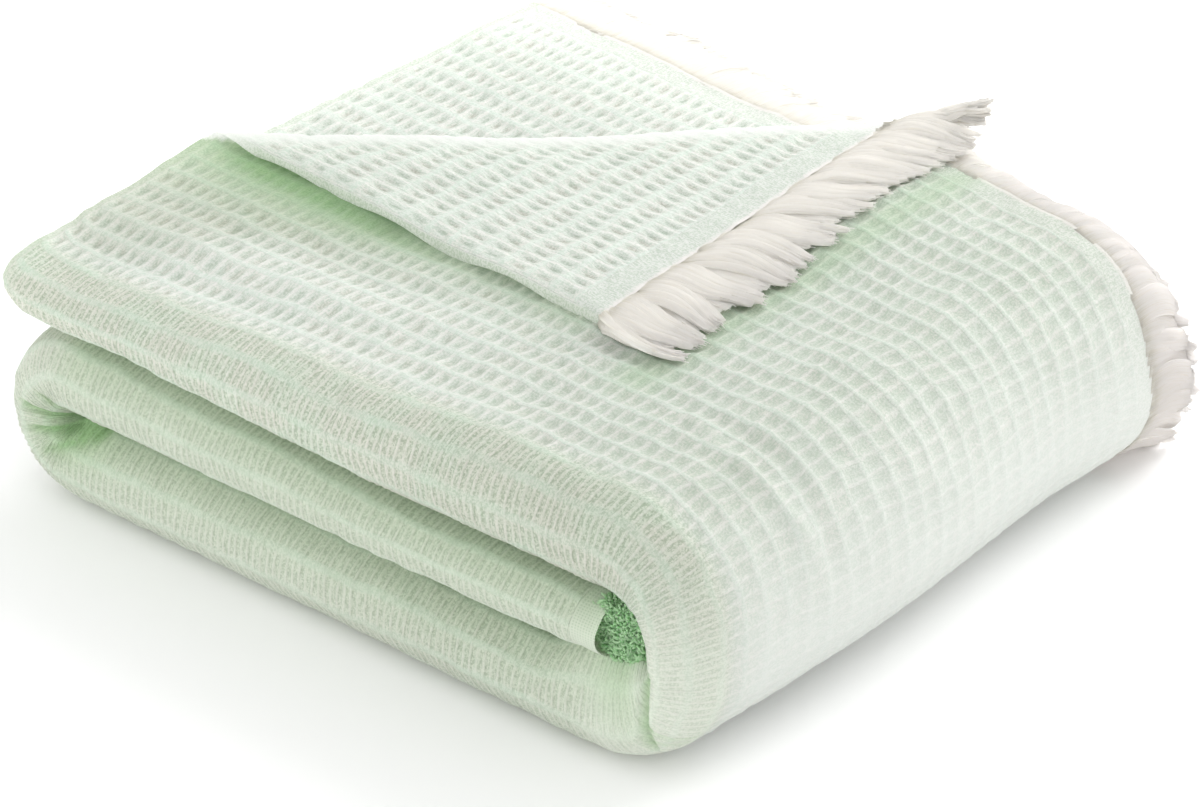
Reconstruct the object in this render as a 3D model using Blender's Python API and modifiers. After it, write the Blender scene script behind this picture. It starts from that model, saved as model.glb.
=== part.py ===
"""A waffle weave cotton blanket with a knotless fringe on both ends, folded for the shelf.

The cloth is one sheet. It is folded in four across its length, so that both fringed ends lie at the
back, and the four layers are then rolled in three: the strip starts at the left on top, turns down
round the big roll at the right, runs back underneath and turns up again into the middle, where its
end stays tucked in. The back left corner of the top layer is folded over towards the front.

Metres, +Z up, the fold edges along X face -Y, and the origin is the centre of the footprint.
"""

import math
import random

import bmesh
import bpy
import numpy as np
from mathutils import Vector

# ---------------------------------------------------------------- driving dimensions
CLOTH_THICKNESS = 0.003
PIECE_GAP = 0.0003
COLLECTION_NAME = "waffle_blanket"

# The strip's middle line, seen from the front: x and z of the line, and half the height of the band.
TOP_BAND = (
    # x, middle z, half height
    (0.000, 0.1100, 0.0125),
    (0.050, 0.1100, 0.0135),
    (0.093, 0.1115, 0.0150),
    (0.133, 0.1105, 0.0180),
    (0.186, 0.1103, 0.0203),
    (0.260, 0.1095, 0.0230),
    (0.3855, 0.1100, 0.0240),
)
BOTTOM_BAND = (
    (0.3855, 0.0235, 0.0235),
    (0.300, 0.0235, 0.0235),
    (0.210, 0.0235, 0.0235),
    (0.120, 0.0235, 0.0235),
    (0.047, 0.0235, 0.0235),
)
MIDDLE_BAND = (
    (0.047, 0.0712, 0.0223),
    (0.090, 0.0702, 0.0216),
    (0.133, 0.0693, 0.0208),
    (0.200, 0.0680, 0.0187),
    (0.260, 0.0668, 0.0168),
    (0.325, 0.0670, 0.0162),
    (0.385, 0.0678, 0.0158),
)
ROLL_REACH = 0.0455
ROLL_SQUARENESS = 2.3
ROLL_SIDE_HALF = 0.0190
ROLL_STEPS = 12
TURN_SIDE_HALF = 0.0229
TURN_STEPS = 10

# The four layers across the strip, along Y.
FRONT_RADIUS = 0.0235
INNER_FOLD_Y = 0.034
BACK_FOLD_Y = 0.362
NOMINAL_HALF = 0.020
END_Y = 0.371
TOP_SKEW = 0.049
SECOND_SKEW = 0.038
SKEW_LENGTH = 0.300
FRONT_FOLD_STEPS = 8
SMALL_FOLD_STEPS = 4
ROWS_PER_LAYER = 4

# How the roll draws in towards the front and swells further back, and how the top rises to the back.
FRONT_DRAW = 0.016
FRONT_DRAW_LENGTH = 0.030
ROLL_WAVES = (
    # y of the middle, half width, outward move
    (0.150, 0.075, 0.004),
    (0.290, 0.060, -0.005),
)
BACK_RISE = 0.008
BACK_RISE_FROM = (0.12, 0.08)
BACK_RISE_OVER = (0.25, 0.26)
LEFT_RISE = 0.006
LEFT_RISE_FROM_Y = 0.04
LEFT_RISE_OVER = (0.20, 0.10)
NOSE_LENGTH = 0.030
NOSE_DRAW = 0.012
NOSE_FADE = 0.06
SOFT_WAVES = (
    # cycles per metre in x, cycles per metre in y, phase, height
    (3.1, 1.7, 0.4, 0.0008),
    (6.3, -3.9, 2.1, 0.0005),
    (1.4, 7.2, 4.0, 0.0006),
)

# The corner that is folded over: where its crest starts and ends, and where the corner comes to lie.
CREST_START = (0.0, 0.155)
CREST_END = (0.270, 0.376)
CORNER_LIES_AT = (0.284, 0.128)
CREST_RADIUS = 0.0040
CREST_STEPS = 7
FLAP_ROWS = 3
CORNER_GAP = 0.0068

# The fringe.
LOCKS_PER_END = 100
LOCK_SHARE = 0.62
STRIP_WIDTH = 0.004
LOCK_LENGTH = 0.050
LOCK_LENGTH_SPREAD = 0.005
LOCK_STEPS = 3
LOCK_TIP = 0.45
LOCK_WAVE = 0.0012
LOCK_WAVE_TURN = 4.0
LOCK_TILT = math.radians(17.0)
LOCK_TILT_FROM = -0.9
LOCK_TILT_OVER = 0.6
LOCK_SPREAD = 0.04
CREST_CLEARANCE = 0.0012
CREST_CLEARANCE_WIDTH = 0.012
FLAP_FAN = math.radians(4.0)
FLAP_FAN_MIDDLE = math.radians(24.0)
FLAP_LIFT = 0.24
FLAP_LIFT_FROM = 0.80
CREST_FAN = math.radians(24.0)
FLOOR_REACH = 0.0005
FRINGE_SEED = 11
FACING_ALONG = 0.70

MINT = (0.70, 0.86, 0.75, 1.0)
OFF_WHITE = (0.92, 0.91, 0.86, 1.0)

SAMPLE_STEP = 0.001
SMOOTHING = 0.012


def smooth_step(value):
    """Ease from 0 to 1 while value goes from 0 to 1."""
    value = min(max(value, 0.0), 1.0)
    return value * value * (3.0 - 2.0 * value)


def ease(value, start, over):
    """Ease from 0 to 1 while value goes from start to start plus over."""
    return smooth_step((value - start) / over)


def bump(value, middle, half_width):
    """A round bump of height 1."""
    return math.exp(-(((value - middle) / half_width) ** 2))


# ---------------------------------------------------------------- the strip's middle line
def band_points(rows):
    """The middle line and half height of one straight band, in close steps."""
    xs = np.array([row[0] for row in rows])
    along = np.concatenate(([0.0], np.cumsum(np.abs(np.diff(xs)))))
    steps = np.linspace(0.0, along[-1], int(along[-1] / SAMPLE_STEP) + 1)
    columns = [np.interp(steps, along, [row[i] for row in rows]) for i in range(3)]
    return np.stack(columns, axis=1)


def roll_points():
    """The half turn round the big roll, a rounded square more than a circle."""
    top = TOP_BAND[-1]
    bottom = BOTTOM_BAND[0]
    middle_z = (top[1] + bottom[1]) / 2
    reach_z = (top[1] - bottom[1]) / 2
    power = 2.0 / ROLL_SQUARENESS
    angles = np.linspace(math.pi / 2, -math.pi / 2, 161)[1:-1]
    x = top[0] + ROLL_REACH * np.cos(angles) ** power
    z = middle_z + reach_z * np.sign(np.sin(angles)) * np.abs(np.sin(angles)) ** power
    ends = np.where(angles > 0, top[2], bottom[2])
    half = ROLL_SIDE_HALF + (ends - ROLL_SIDE_HALF) * np.sin(angles) ** 2
    return np.stack([x, z, half], axis=1)


def turn_points():
    """The half turn at the left, from the bottom band up into the middle band."""
    low = BOTTOM_BAND[-1]
    high = MIDDLE_BAND[0]
    radius = (high[1] - low[1]) / 2
    angles = np.linspace(-math.pi / 2, -3 * math.pi / 2, 101)[1:-1]
    x = low[0] + radius * np.cos(angles)
    z = low[1] + radius + radius * np.sin(angles)
    ends = np.where(np.sin(angles) < 0, low[2], high[2])
    half = TURN_SIDE_HALF + (ends - TURN_SIDE_HALF) * np.sin(angles) ** 2
    return np.stack([x, z, half], axis=1)


def smoothed(values, window):
    """Values averaged over a sliding window, with both ends kept."""
    wide = np.concatenate([np.repeat(values[:1], window), values, np.repeat(values[-1:], window)])
    mean = np.convolve(wide, np.ones(2 * window + 1) / (2 * window + 1), mode="valid")
    return mean


def middle_line():
    """Distance along the strip, x, z and half height of its middle line, and the outward normal."""
    pieces = (
        band_points(TOP_BAND),
        roll_points(),
        band_points(BOTTOM_BAND),
        turn_points(),
        band_points(MIDDLE_BAND),
    )
    points = np.concatenate(pieces)
    steps = np.linalg.norm(np.diff(points[:, :2], axis=0), axis=1)
    along = np.concatenate(([0.0], np.cumsum(steps)))
    even = np.arange(0.0, along[-1], SAMPLE_STEP)
    x = np.interp(even, along, points[:, 0])
    z = np.interp(even, along, points[:, 1])
    half = smoothed(np.interp(even, along, points[:, 2]), int(SMOOTHING / SAMPLE_STEP))
    heading = np.unwrap(np.arctan2(np.gradient(z), np.gradient(x)))
    heading = smoothed(heading, int(0.5 * SMOOTHING / SAMPLE_STEP))
    return {
        "along": even,
        "x": x,
        "z": z,
        "half": half - CLOTH_THICKNESS / 2,
        "heading": heading,
        "roll_start": TOP_BAND[-1][0],
        "roll_end": TOP_BAND[-1][0] + path_length(roll_points()),
        "turn_start": path_length(np.concatenate(pieces[:3])),
        "turn_end": path_length(np.concatenate(pieces[:4])),
        "length": float(even[-1]),
    }


def path_length(points):
    """Length of a line through points."""
    return float(np.sum(np.linalg.norm(np.diff(points[:, :2], axis=0), axis=1)))


LINE = middle_line()


def line_at(along):
    """x, z, half height and outward normal of the middle line at a distance along the strip."""
    x = np.interp(along, LINE["along"], LINE["x"])
    z = np.interp(along, LINE["along"], LINE["z"])
    half = np.interp(along, LINE["along"], LINE["half"])
    heading = np.interp(along, LINE["along"], LINE["heading"])
    return x, z, half, Vector((-math.sin(heading), 0.0, math.cos(heading)))


# ---------------------------------------------------------------- the four layers
# Distance across the cloth, from the fringed end on top to the fringed end under it.
FRONT_START = -FRONT_RADIUS
FRONT_END = FRONT_START + math.pi * NOMINAL_HALF
BACK_START = FRONT_END + BACK_FOLD_Y - FRONT_RADIUS
BACK_END = BACK_START + math.pi * NOMINAL_HALF / 3
INNER_START = BACK_END + BACK_FOLD_Y - INNER_FOLD_Y
INNER_END = INNER_START + math.pi * NOMINAL_HALF / 3


def top_end_y(along):
    """y of the top layer's fringed end: it runs a little askew near the left."""
    return END_Y + TOP_SKEW * max(0.0, 1.0 - along / SKEW_LENGTH)


def second_end_y(along):
    """y of the second layer's fringed end."""
    return END_Y + SECOND_SKEW * max(0.0, 1.0 - along / SKEW_LENGTH)


def across(distance, half):
    """y and height over the middle line of a point of the four layers."""
    small = half / 3
    if distance <= FRONT_START:
        return -distance, half
    if distance <= FRONT_END:
        turn = math.pi / 2 - math.pi * (distance - FRONT_START) / (FRONT_END - FRONT_START)
        return FRONT_RADIUS * (1.0 - math.cos(turn)), half * math.sin(turn)
    if distance <= BACK_START:
        return FRONT_RADIUS + distance - FRONT_END, -half
    if distance <= BACK_END:
        turn = math.pi * (distance - BACK_START) / (BACK_END - BACK_START)
        return BACK_FOLD_Y + small * math.sin(turn), -half + small * (1.0 - math.cos(turn))
    if distance <= INNER_START:
        return BACK_FOLD_Y - (distance - BACK_END), -small
    if distance <= INNER_END:
        turn = math.pi * (distance - INNER_START) / (INNER_END - INNER_START)
        return INNER_FOLD_Y - small * math.sin(turn), -small + small * (1.0 - math.cos(turn))
    return INNER_FOLD_Y + distance - INNER_END, small


def front_draw(along, y):
    """How far the front edge steps back, at the end of the top band."""
    nose = NOSE_DRAW * max(0.0, 1.0 - along / NOSE_LENGTH) ** 2
    return nose * (1.0 - ease(y, FRONT_RADIUS, NOSE_FADE))


def outward_move(along, x, y, share):
    """How far a layer moves outward: the roll's swell, the rise of the top, soft waves.

    The share is 1 in the outermost of the four layers and 0 in the innermost.
    """
    turned = (along - LINE["roll_start"]) / (LINE["roll_end"] - LINE["roll_start"])
    on_roll = math.sin(math.pi * min(max(turned, 0.0), 1.0)) ** 2
    swell = -FRONT_DRAW * math.exp(-y / FRONT_DRAW_LENGTH)
    swell += sum(row[2] * bump(y, row[0], row[1]) for row in ROLL_WAVES)
    on_top = 1.0 - ease(turned, 0.0, 0.5)
    rise = BACK_RISE * ease(x, BACK_RISE_FROM[0], BACK_RISE_OVER[0])
    rise *= ease(y, BACK_RISE_FROM[1], BACK_RISE_OVER[1])
    waves = 0.0
    for cycles_x, cycles_y, phase, height in SOFT_WAVES:
        waves += height * math.sin(2 * math.pi * (cycles_x * x + cycles_y * y) + phase)
    left = LEFT_RISE * ease(y, LEFT_RISE_FROM_Y, LEFT_RISE_OVER[1])
    left *= 1.0 - ease(x, 0.0, LEFT_RISE_OVER[0])
    return (swell * on_roll + (rise + waves) * on_top) * share + left * on_top * math.sqrt(share)


def layer_point(along, distance):
    """A point of the folded cloth, before the corner is folded over."""
    x, z, half, normal = line_at(along)
    y, height = across(distance, half)
    share = min(max((height + half) / (2 * half), 0.0), 1.0)
    height += outward_move(along, x, y, share)
    return Vector((x, y + front_draw(along, y), z)) + normal * height


# ---------------------------------------------------------------- the folded corner
class Crest:
    """The diagonal fold of the top layer's back left corner, in the plan of the top layer."""

    def __init__(self):
        start = Vector(CREST_START)
        run = Vector(CREST_END) - start
        corner = Vector((0.0, top_end_y(0.0)))
        self.start = start
        self.along = run.normalized()
        self.outward = Vector((-self.along.y, self.along.x))
        self.depth = (corner - start).dot(self.outward)
        self.arc = math.pi * CREST_RADIUS
        foot = corner - self.outward * self.depth
        self.back = (Vector(CORNER_LIES_AT) - foot) / (self.depth - self.arc)

    def depth_of(self, plan):
        """Distance of a point of the plan past the crest, negative on the side that stays down."""
        return (plan - self.start).dot(self.outward)

    def fold(self, plan):
        """Plan of a point past the crest after the fold, and its height over the layer below."""
        depth = self.depth_of(plan)
        foot = plan - self.outward * depth
        if depth < self.arc:
            angle = depth / CREST_RADIUS
            lift = CREST_RADIUS * (1.0 - math.cos(angle))
            return foot + self.outward * CREST_RADIUS * math.sin(angle), lift
        beyond = depth - self.arc
        lift = 2 * CREST_RADIUS + (CORNER_GAP - 2 * CREST_RADIUS) * beyond / (self.depth - self.arc)
        return foot + self.back * beyond, lift


CREST = Crest()


def cloth_point(along, distance):
    """A point of the folded cloth's middle surface."""
    plan = Vector((along, -distance))
    if distance > FRONT_START or CREST.depth_of(plan) <= 0.0 or along > SKEW_LENGTH:
        return layer_point(along, distance)
    plan, lift = CREST.fold(plan)
    return layer_point(plan.x, -plan.y) + Vector((0.0, 0.0, lift))


def cloth_normal(along, distance):
    """The cloth's normal, from two short steps on its middle surface."""
    step = 0.0005
    down = cloth_point(along + step, distance) - cloth_point(along - step, distance)
    over = cloth_point(along, distance + step) - cloth_point(along, distance - step)
    return over.cross(down).normalized()


# ---------------------------------------------------------------- meshes
def cut(bm, point, normal, inside=None):
    """Cut the flat sheet along a line, everywhere or only in the faces that inside() picks."""
    faces = [face for face in bm.faces if inside is None or inside(face.calc_center_median())]
    edges = {edge for face in faces for edge in face.edges}
    verts = {vert for face in faces for vert in face.verts}
    geometry = list(verts) + list(edges) + faces
    place = (point[0], point[1], 0.0)
    facing = (normal[0], normal[1], 0.0)
    bmesh.ops.bisect_plane(bm, geom=geometry, dist=1e-6, plane_co=place, plane_no=facing)


def evenly(start, end, count):
    """The inner points of a stretch that is cut in count equal steps."""
    return [start + (end - start) * i / count for i in range(1, count)]


def strip_cuts():
    """Distances along the strip where the sheet bends or changes height."""
    cuts = [row[0] for row in TOP_BAND[1:]]
    cuts += evenly(LINE["roll_start"], LINE["roll_end"], ROLL_STEPS)
    cuts += [LINE["roll_end"]]
    cuts += [LINE["roll_end"] + BOTTOM_BAND[0][0] - row[0] for row in BOTTOM_BAND[1:-1]]
    cuts += [LINE["turn_start"]] + evenly(LINE["turn_start"], LINE["turn_end"], TURN_STEPS)
    cuts += [LINE["turn_end"] + row[0] - MIDDLE_BAND[0][0] for row in MIDDLE_BAND[:-1]]
    return cuts


def layer_cuts():
    """Distances across the cloth where it bends, and the rows between the bends."""
    bends = (
        (FRONT_START, FRONT_END, FRONT_FOLD_STEPS),
        (BACK_START, BACK_END, SMALL_FOLD_STEPS),
        (INNER_START, INNER_END, SMALL_FOLD_STEPS),
    )
    cuts = []
    flat_start = -END_Y
    for start, end, steps in bends:
        cuts += evenly(flat_start, start, ROWS_PER_LAYER) + [start]
        cuts += evenly(start, end, steps) + [end]
        flat_start = end
    cuts += evenly(flat_start, flat_start + END_Y - INNER_FOLD_Y, ROWS_PER_LAYER)
    return cuts


def flat_sheet(bm):
    """The cloth laid out flat, x along the strip and y across the layers, cut where it will bend."""
    length = LINE["length"]
    low = -top_end_y(0.0)
    high = INNER_END + second_end_y(0.0) - INNER_FOLD_Y
    bmesh.ops.create_grid(bm, x_segments=1, y_segments=1, size=0.5)
    for vert in bm.verts:
        vert.co.x = (vert.co.x + 0.5) * length
        vert.co.y = low + (vert.co.y + 0.5) * (high - low)
    for along in strip_cuts():
        cut(bm, (along, 0.0), (1.0, 0.0))
    for distance in layer_cuts():
        cut(bm, (0.0, distance), (0.0, 1.0))
    cut(bm, (SKEW_LENGTH, 0.0), (1.0, 0.0))
    trim_ends(bm)
    corner_cuts(bm)
    bmesh.ops.triangulate(bm, faces=bm.faces[:])


def trim_ends(bm):
    """Trim both fringed ends to their slightly skew lines."""
    second_end = INNER_END - INNER_FOLD_Y
    for sign, skew, offset in ((-1.0, TOP_SKEW, 0.0), (1.0, SECOND_SKEW, second_end)):
        edge = sign * END_Y + offset
        slope = -sign * skew / SKEW_LENGTH
        cut(bm, (SKEW_LENGTH, edge), (-slope, 1.0), lambda centre: centre.x < SKEW_LENGTH)
        cut(bm, (SKEW_LENGTH, edge), (0.0, 1.0), lambda centre: centre.x > SKEW_LENGTH)

        def outside(centre):
            reach = END_Y + skew * max(0.0, 1.0 - centre.x / SKEW_LENGTH)
            return sign * (centre.y - offset) > reach + 1e-5

        extra = [face for face in bm.faces if outside(face.calc_center_median())]
        bmesh.ops.delete(bm, geom=extra, context="FACES")


def corner_cuts(bm):
    """Cut the top layer along the crest of the folded corner, and in rows on the corner itself."""
    depths = [0.0] + evenly(0.0, CREST.arc, CREST_STEPS) + [CREST.arc]
    depths += evenly(CREST.arc, CREST.depth, FLAP_ROWS)
    normal = (CREST.outward.x, -CREST.outward.y)

    def on_top_layer(centre):
        return centre.y < FRONT_START and centre.x < SKEW_LENGTH

    for depth in depths:
        point = CREST.start + CREST.outward * depth
        cut(bm, (point.x, -point.y), normal, on_top_layer)


def build_cloth(collection):
    """The blanket's cloth, one sheet with its folds."""
    bm = bmesh.new()
    flat_sheet(bm)
    for vert in bm.verts:
        vert.co = cloth_point(vert.co.x, vert.co.y)
    cloth = add_object("blanket", bm, collection, cotton("mint_cotton", MINT))
    thickness = cloth.modifiers.new("thickness", "SOLIDIFY")
    thickness.thickness = CLOTH_THICKNESS
    thickness.offset = 0.0
    thickness.use_even_offset = True
    return cloth


def lock_path(root, direction, normal, length, rng):
    """Centres of a lock's rings, bending a little from side to side."""
    side = direction.cross(normal)
    phase = rng.uniform(0.0, 2 * math.pi)
    points = []
    for i in range(1, LOCK_STEPS + 1):
        share = i / LOCK_STEPS
        point = root + direction * length * share
        point += side * LOCK_WAVE * (math.sin(phase + LOCK_WAVE_TURN * share) - math.sin(phase))
        points.append(point)
    return points


def lock_direction(along, distance, outward, rng):
    """The way a lock points: out of the cloth's end, tilted in towards the pile."""
    normal = line_at(along)[3]
    tilt = LOCK_TILT * ease(normal.z, LOCK_TILT_FROM, LOCK_TILT_OVER)
    spread = rng.uniform(-LOCK_SPREAD, LOCK_SPREAD)
    depth = CREST.depth_of(Vector((along, -distance)))
    if depth > 0.0 and along < SKEW_LENGTH:
        place = min(along / CREST_END[0], 1.0)
        fan = FLAP_FAN + FLAP_FAN_MIDDLE * math.sin(math.pi * place) + spread
        fan += CREST_FAN * (1.0 - min(depth / CREST.arc, 1.0))
        lift = FLAP_LIFT * ease(place, FLAP_LIFT_FROM, 1.0 - FLAP_LIFT_FROM)
        return Vector((math.cos(fan), math.sin(fan), lift)).normalized()
    sideways = Vector((normal.z, 0.0, -normal.x)) * spread
    return (outward * math.cos(tilt) - normal * math.sin(tilt) + sideways).normalized()


def fringe_strip(bm, side, end_distance):
    """The narrow strip along the cloth's end, and the end faces that the locks grow from, in order."""
    columns = 2 * LOCKS_PER_END
    pitch = LINE["length"] / LOCKS_PER_END
    bmesh.ops.create_grid(bm, x_segments=columns, y_segments=1, size=0.5)
    column_of = bm.verts.layers.int.new("column")
    row_of = bm.verts.layers.int.new("row")
    for vert in bm.verts:
        column = round((vert.co.x + 0.5) * columns)
        row = round(vert.co.y + 0.5)
        along = pitch * (column // 2 + (LOCK_SHARE if column % 2 else 0.0))
        along = min(along, LINE["length"])
        clear = CREST_CLEARANCE * bump(along, CREST_END[0], CREST_CLEARANCE_WIDTH) if side < 0 else 0.0
        distance = end_distance(along) + side * (PIECE_GAP + clear + row * STRIP_WIDTH)
        vert[column_of] = column
        vert[row_of] = row
        vert.co = cloth_point(along, distance) - cloth_normal(along, distance) * CLOTH_THICKNESS / 2
    bm.normal_update()
    facing = cloth_normal(FACING_ALONG, end_distance(FACING_ALONG) + side * PIECE_GAP)
    middle = min(bm.faces, key=lambda face: abs(face.verts[0][column_of] - 2 * FACING_ALONG / pitch))
    if middle.normal.dot(facing) < 0:
        bmesh.ops.reverse_faces(bm, faces=bm.faces[:])
    bmesh.ops.solidify(bm, geom=bm.faces[:], thickness=CLOTH_THICKNESS)
    bmesh.ops.recalc_face_normals(bm, faces=bm.faces[:])
    roots = []
    for face in bm.faces:
        first = min(vert[column_of] for vert in face.verts)
        on_end = all(vert[row_of] == 1 for vert in face.verts)
        if on_end and first % 2 == 0 and any(vert[column_of] != first for vert in face.verts):
            roots.append((pitch * (first // 2 + LOCK_SHARE / 2), face))
    return sorted(roots, key=lambda root: root[0])


def grow_lock(bm, root, along, distance, step, rng):
    """One lock of the fringe, grown ring by ring from its root face."""
    direction = lock_direction(along, distance, step.normalized(), rng)
    length = LOCK_LENGTH + rng.uniform(-LOCK_LENGTH_SPREAD, LOCK_LENGTH_SPREAD)
    last = root.calc_center_median()
    on_floor = min(vert.co.z for vert in root.verts) < FLOOR_REACH
    face = root
    size = 1.0
    for i, point in enumerate(lock_path(last, direction, cloth_normal(along, distance), length, rng)):
        face = bmesh.ops.extrude_discrete_faces(bm, faces=[face])["faces"][0]
        before = size
        size = 1.0 + (LOCK_TIP - 1.0) * (i + 1) / LOCK_STEPS
        for vert in face.verts:
            vert.co = point + (vert.co - last) * (size / before)
        low = min(vert.co.z for vert in face.verts)
        down = low if on_floor else min(low, 0.0)
        for vert in face.verts:
            vert.co.z -= down
        last = point - Vector((0.0, 0.0, down))


def build_fringe(name, collection, side, end_distance):
    """One end's fringe: a narrow strip along the cloth's end, with the locks grown from it."""
    rng = random.Random(FRINGE_SEED + len(name))
    bm = bmesh.new()
    for along, root in fringe_strip(bm, side, end_distance):
        distance = end_distance(along) + side * STRIP_WIDTH
        step = cloth_point(along, distance + side * 0.001) - cloth_point(along, distance)
        grow_lock(bm, root, along, distance, step, rng)
    return add_object(name, bm, collection, cotton("undyed_cotton", OFF_WHITE))


# ---------------------------------------------------------------- scene
def cotton(name, colour):
    """A matt cotton material."""
    material = bpy.data.materials.get(name) or bpy.data.materials.new(name)
    material.use_nodes = True
    shader = material.node_tree.nodes["Principled BSDF"]
    shader.inputs["Base Color"].default_value = colour
    shader.inputs["Roughness"].default_value = 0.9
    shader.inputs["Metallic"].default_value = 0.0
    return material


def add_object(name, bm, collection, material):
    """A mesh object made from a bmesh, with one material."""
    mesh = bpy.data.meshes.new(name)
    bm.to_mesh(mesh)
    bm.free()
    mesh.materials.append(material)
    obj = bpy.data.objects.new(name, mesh)
    collection.objects.link(obj)
    return obj


def centre_on_origin(objects):
    """Move every object's mesh so that the origin is the bottom centre of them all."""
    depsgraph = bpy.context.evaluated_depsgraph_get()
    corners = []
    for obj in objects:
        mesh = obj.evaluated_get(depsgraph).to_mesh()
        corners += [vert.co.copy() for vert in mesh.vertices]
    low = Vector(min(corner[i] for corner in corners) for i in range(3))
    high = Vector(max(corner[i] for corner in corners) for i in range(3))
    shift = Vector((-(low.x + high.x) / 2, -(low.y + high.y) / 2, -low.z))
    for obj in objects:
        for vert in obj.data.vertices:
            vert.co += shift
        obj.data.update()


def main():
    """Build the blanket."""
    for obj in list(bpy.data.objects):
        bpy.data.objects.remove(obj, do_unlink=True)
    collection = bpy.data.collections.new(COLLECTION_NAME)
    bpy.context.scene.collection.children.link(collection)
    cloth = build_cloth(collection)
    top = build_fringe("fringe_top_end", collection, -1.0, lambda along: -top_end_y(along))
    second_edge = INNER_END - INNER_FOLD_Y
    second = build_fringe(
        "fringe_second_end", collection, 1.0, lambda along: second_edge + second_end_y(along)
    )
    bpy.context.view_layer.update()
    centre_on_origin([cloth, top, second])


main()
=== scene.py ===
"""The looks of a folded waffle weave cotton blanket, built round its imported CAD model."""
import math

import bpy
import numpy as np
from mathutils import Matrix, Vector


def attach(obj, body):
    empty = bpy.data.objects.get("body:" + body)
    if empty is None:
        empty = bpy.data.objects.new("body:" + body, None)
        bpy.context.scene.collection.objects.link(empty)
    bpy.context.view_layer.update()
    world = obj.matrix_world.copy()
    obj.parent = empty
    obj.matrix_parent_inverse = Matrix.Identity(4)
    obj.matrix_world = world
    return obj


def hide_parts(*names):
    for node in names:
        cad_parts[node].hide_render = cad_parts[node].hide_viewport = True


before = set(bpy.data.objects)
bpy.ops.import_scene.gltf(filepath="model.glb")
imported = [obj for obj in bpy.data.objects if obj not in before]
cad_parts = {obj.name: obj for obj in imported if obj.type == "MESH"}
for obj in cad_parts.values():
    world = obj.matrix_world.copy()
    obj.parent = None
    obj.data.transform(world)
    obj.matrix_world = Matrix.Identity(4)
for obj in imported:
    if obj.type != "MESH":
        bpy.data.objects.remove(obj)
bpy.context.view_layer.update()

# ---------------- sizes, in metres, as in the CAD
# Everything is worked out in the photo's own frame and then moved by SHIFT into the row frame.
SHIFT = np.array((-0.225825, -0.227737, 0.0))
CLOTH_THICKNESS = 0.003
TOP_BAND = (
    # x, middle z and half height of the strip
    (0.000, 0.1100, 0.0125),
    (0.050, 0.1100, 0.0135),
    (0.093, 0.1115, 0.0150),
    (0.133, 0.1105, 0.0180),
    (0.186, 0.1103, 0.0203),
    (0.260, 0.1095, 0.0230),
    (0.3855, 0.1100, 0.0240),
)
BOTTOM_BAND = tuple((x, 0.0235, 0.0235) for x in (0.3855, 0.300, 0.210, 0.120, 0.047))
MIDDLE_BAND = (
    (0.047, 0.0712, 0.0223),
    (0.090, 0.0702, 0.0216),
    (0.133, 0.0693, 0.0208),
    (0.200, 0.0680, 0.0187),
    (0.260, 0.0668, 0.0168),
    (0.325, 0.0670, 0.0162),
    (0.385, 0.0678, 0.0158),
    (0.391, 0.0679, 0.0157),
)
# round the roll and round the left turn
ROLL_REACH = 0.0455
ROLL_SQUARENESS = 2.3
ROLL_SIDE_HALF = 0.0190
TURN_SIDE_HALF = 0.0229
SAMPLE_STEP = 0.001
SMOOTHING = 0.012
# the folds across the strip, and the cloth's two ends
FRONT_RADIUS = 0.0235
INNER_FOLD_Y = 0.034
BACK_FOLD_Y = 0.362
NOMINAL_HALF = 0.020
END_Y = 0.371
TOP_SKEW = 0.049
TOP_SKEW_POWER = 0.6
SECOND_SKEW = 0.038
SKEW_LENGTH = 0.300
ROLL_END_DRAW = 0.020
# soft forms; a pair is a start and a length, unless its comment says more
DRAW_GROWS, DRAW_EASES, DRAW_ENDS = (0.290, 0.100), (0.425, 0.055), (0.540, 0.080)
FRONT_DRAW = 0.016
FRONT_DRAW_LENGTH = 0.030
ROLL_WAVES = ((0.150, 0.075, 0.004), (0.290, 0.060, -0.005))  # y, half width, height
BACK_RISE = 0.008
BACK_RISE_X, BACK_RISE_Y = (0.12, 0.25), (0.08, 0.26)
LEFT_RISE = 0.006
LEFT_RISE_X, LEFT_RISE_Y = (0.0, 0.20), (0.04, 0.10)
NOSE_LENGTH = 0.030
NOSE_DRAW = 0.012
# cycles a metre along x and y, phase, height
SOFT_WAVES = ((3.1, 1.7, 0.4, 0.0008), (6.3, -3.9, 2.1, 0.0005), (1.4, 7.2, 4.0, 0.0006))
HOLLOW_SWELL = 0.016
HOLLOW_SWELL_U = (0.462, 0.035, 0.523, 0.040)  # where it grows and where it ends
HOLLOW_SWELL_Y = (0.022, 0.030)
# the folded corner
CREST_START = (0.0, 0.155)
CREST_END = (0.270, 0.376)
CORNER_LIES_AT = (0.284, 0.128)
CREST_RADIUS = 0.0040
CREST_OPENS = (-0.005, 0.060)
CREST_SAG = 0.0032
CREST_SAG_X = (0.150, 0.095)  # middle and half width
CREST_SAG_FADE = 0.05
CORNER_GAP = 0.0068
RIM_WIDTH = 0.0090
RIM_DROP = 0.0058
RIM_TUCK = 0.0045
RIM_SLOPE = 0.020
RIM_WAVE, RIM_WAVE_TURN = 0.25, 75.0
SHOULDER = np.array((-0.0025, -0.0025, 0.0045))
SHOULDER_REACH = 0.026
SHOULDER_LENGTH = 0.040

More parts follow.
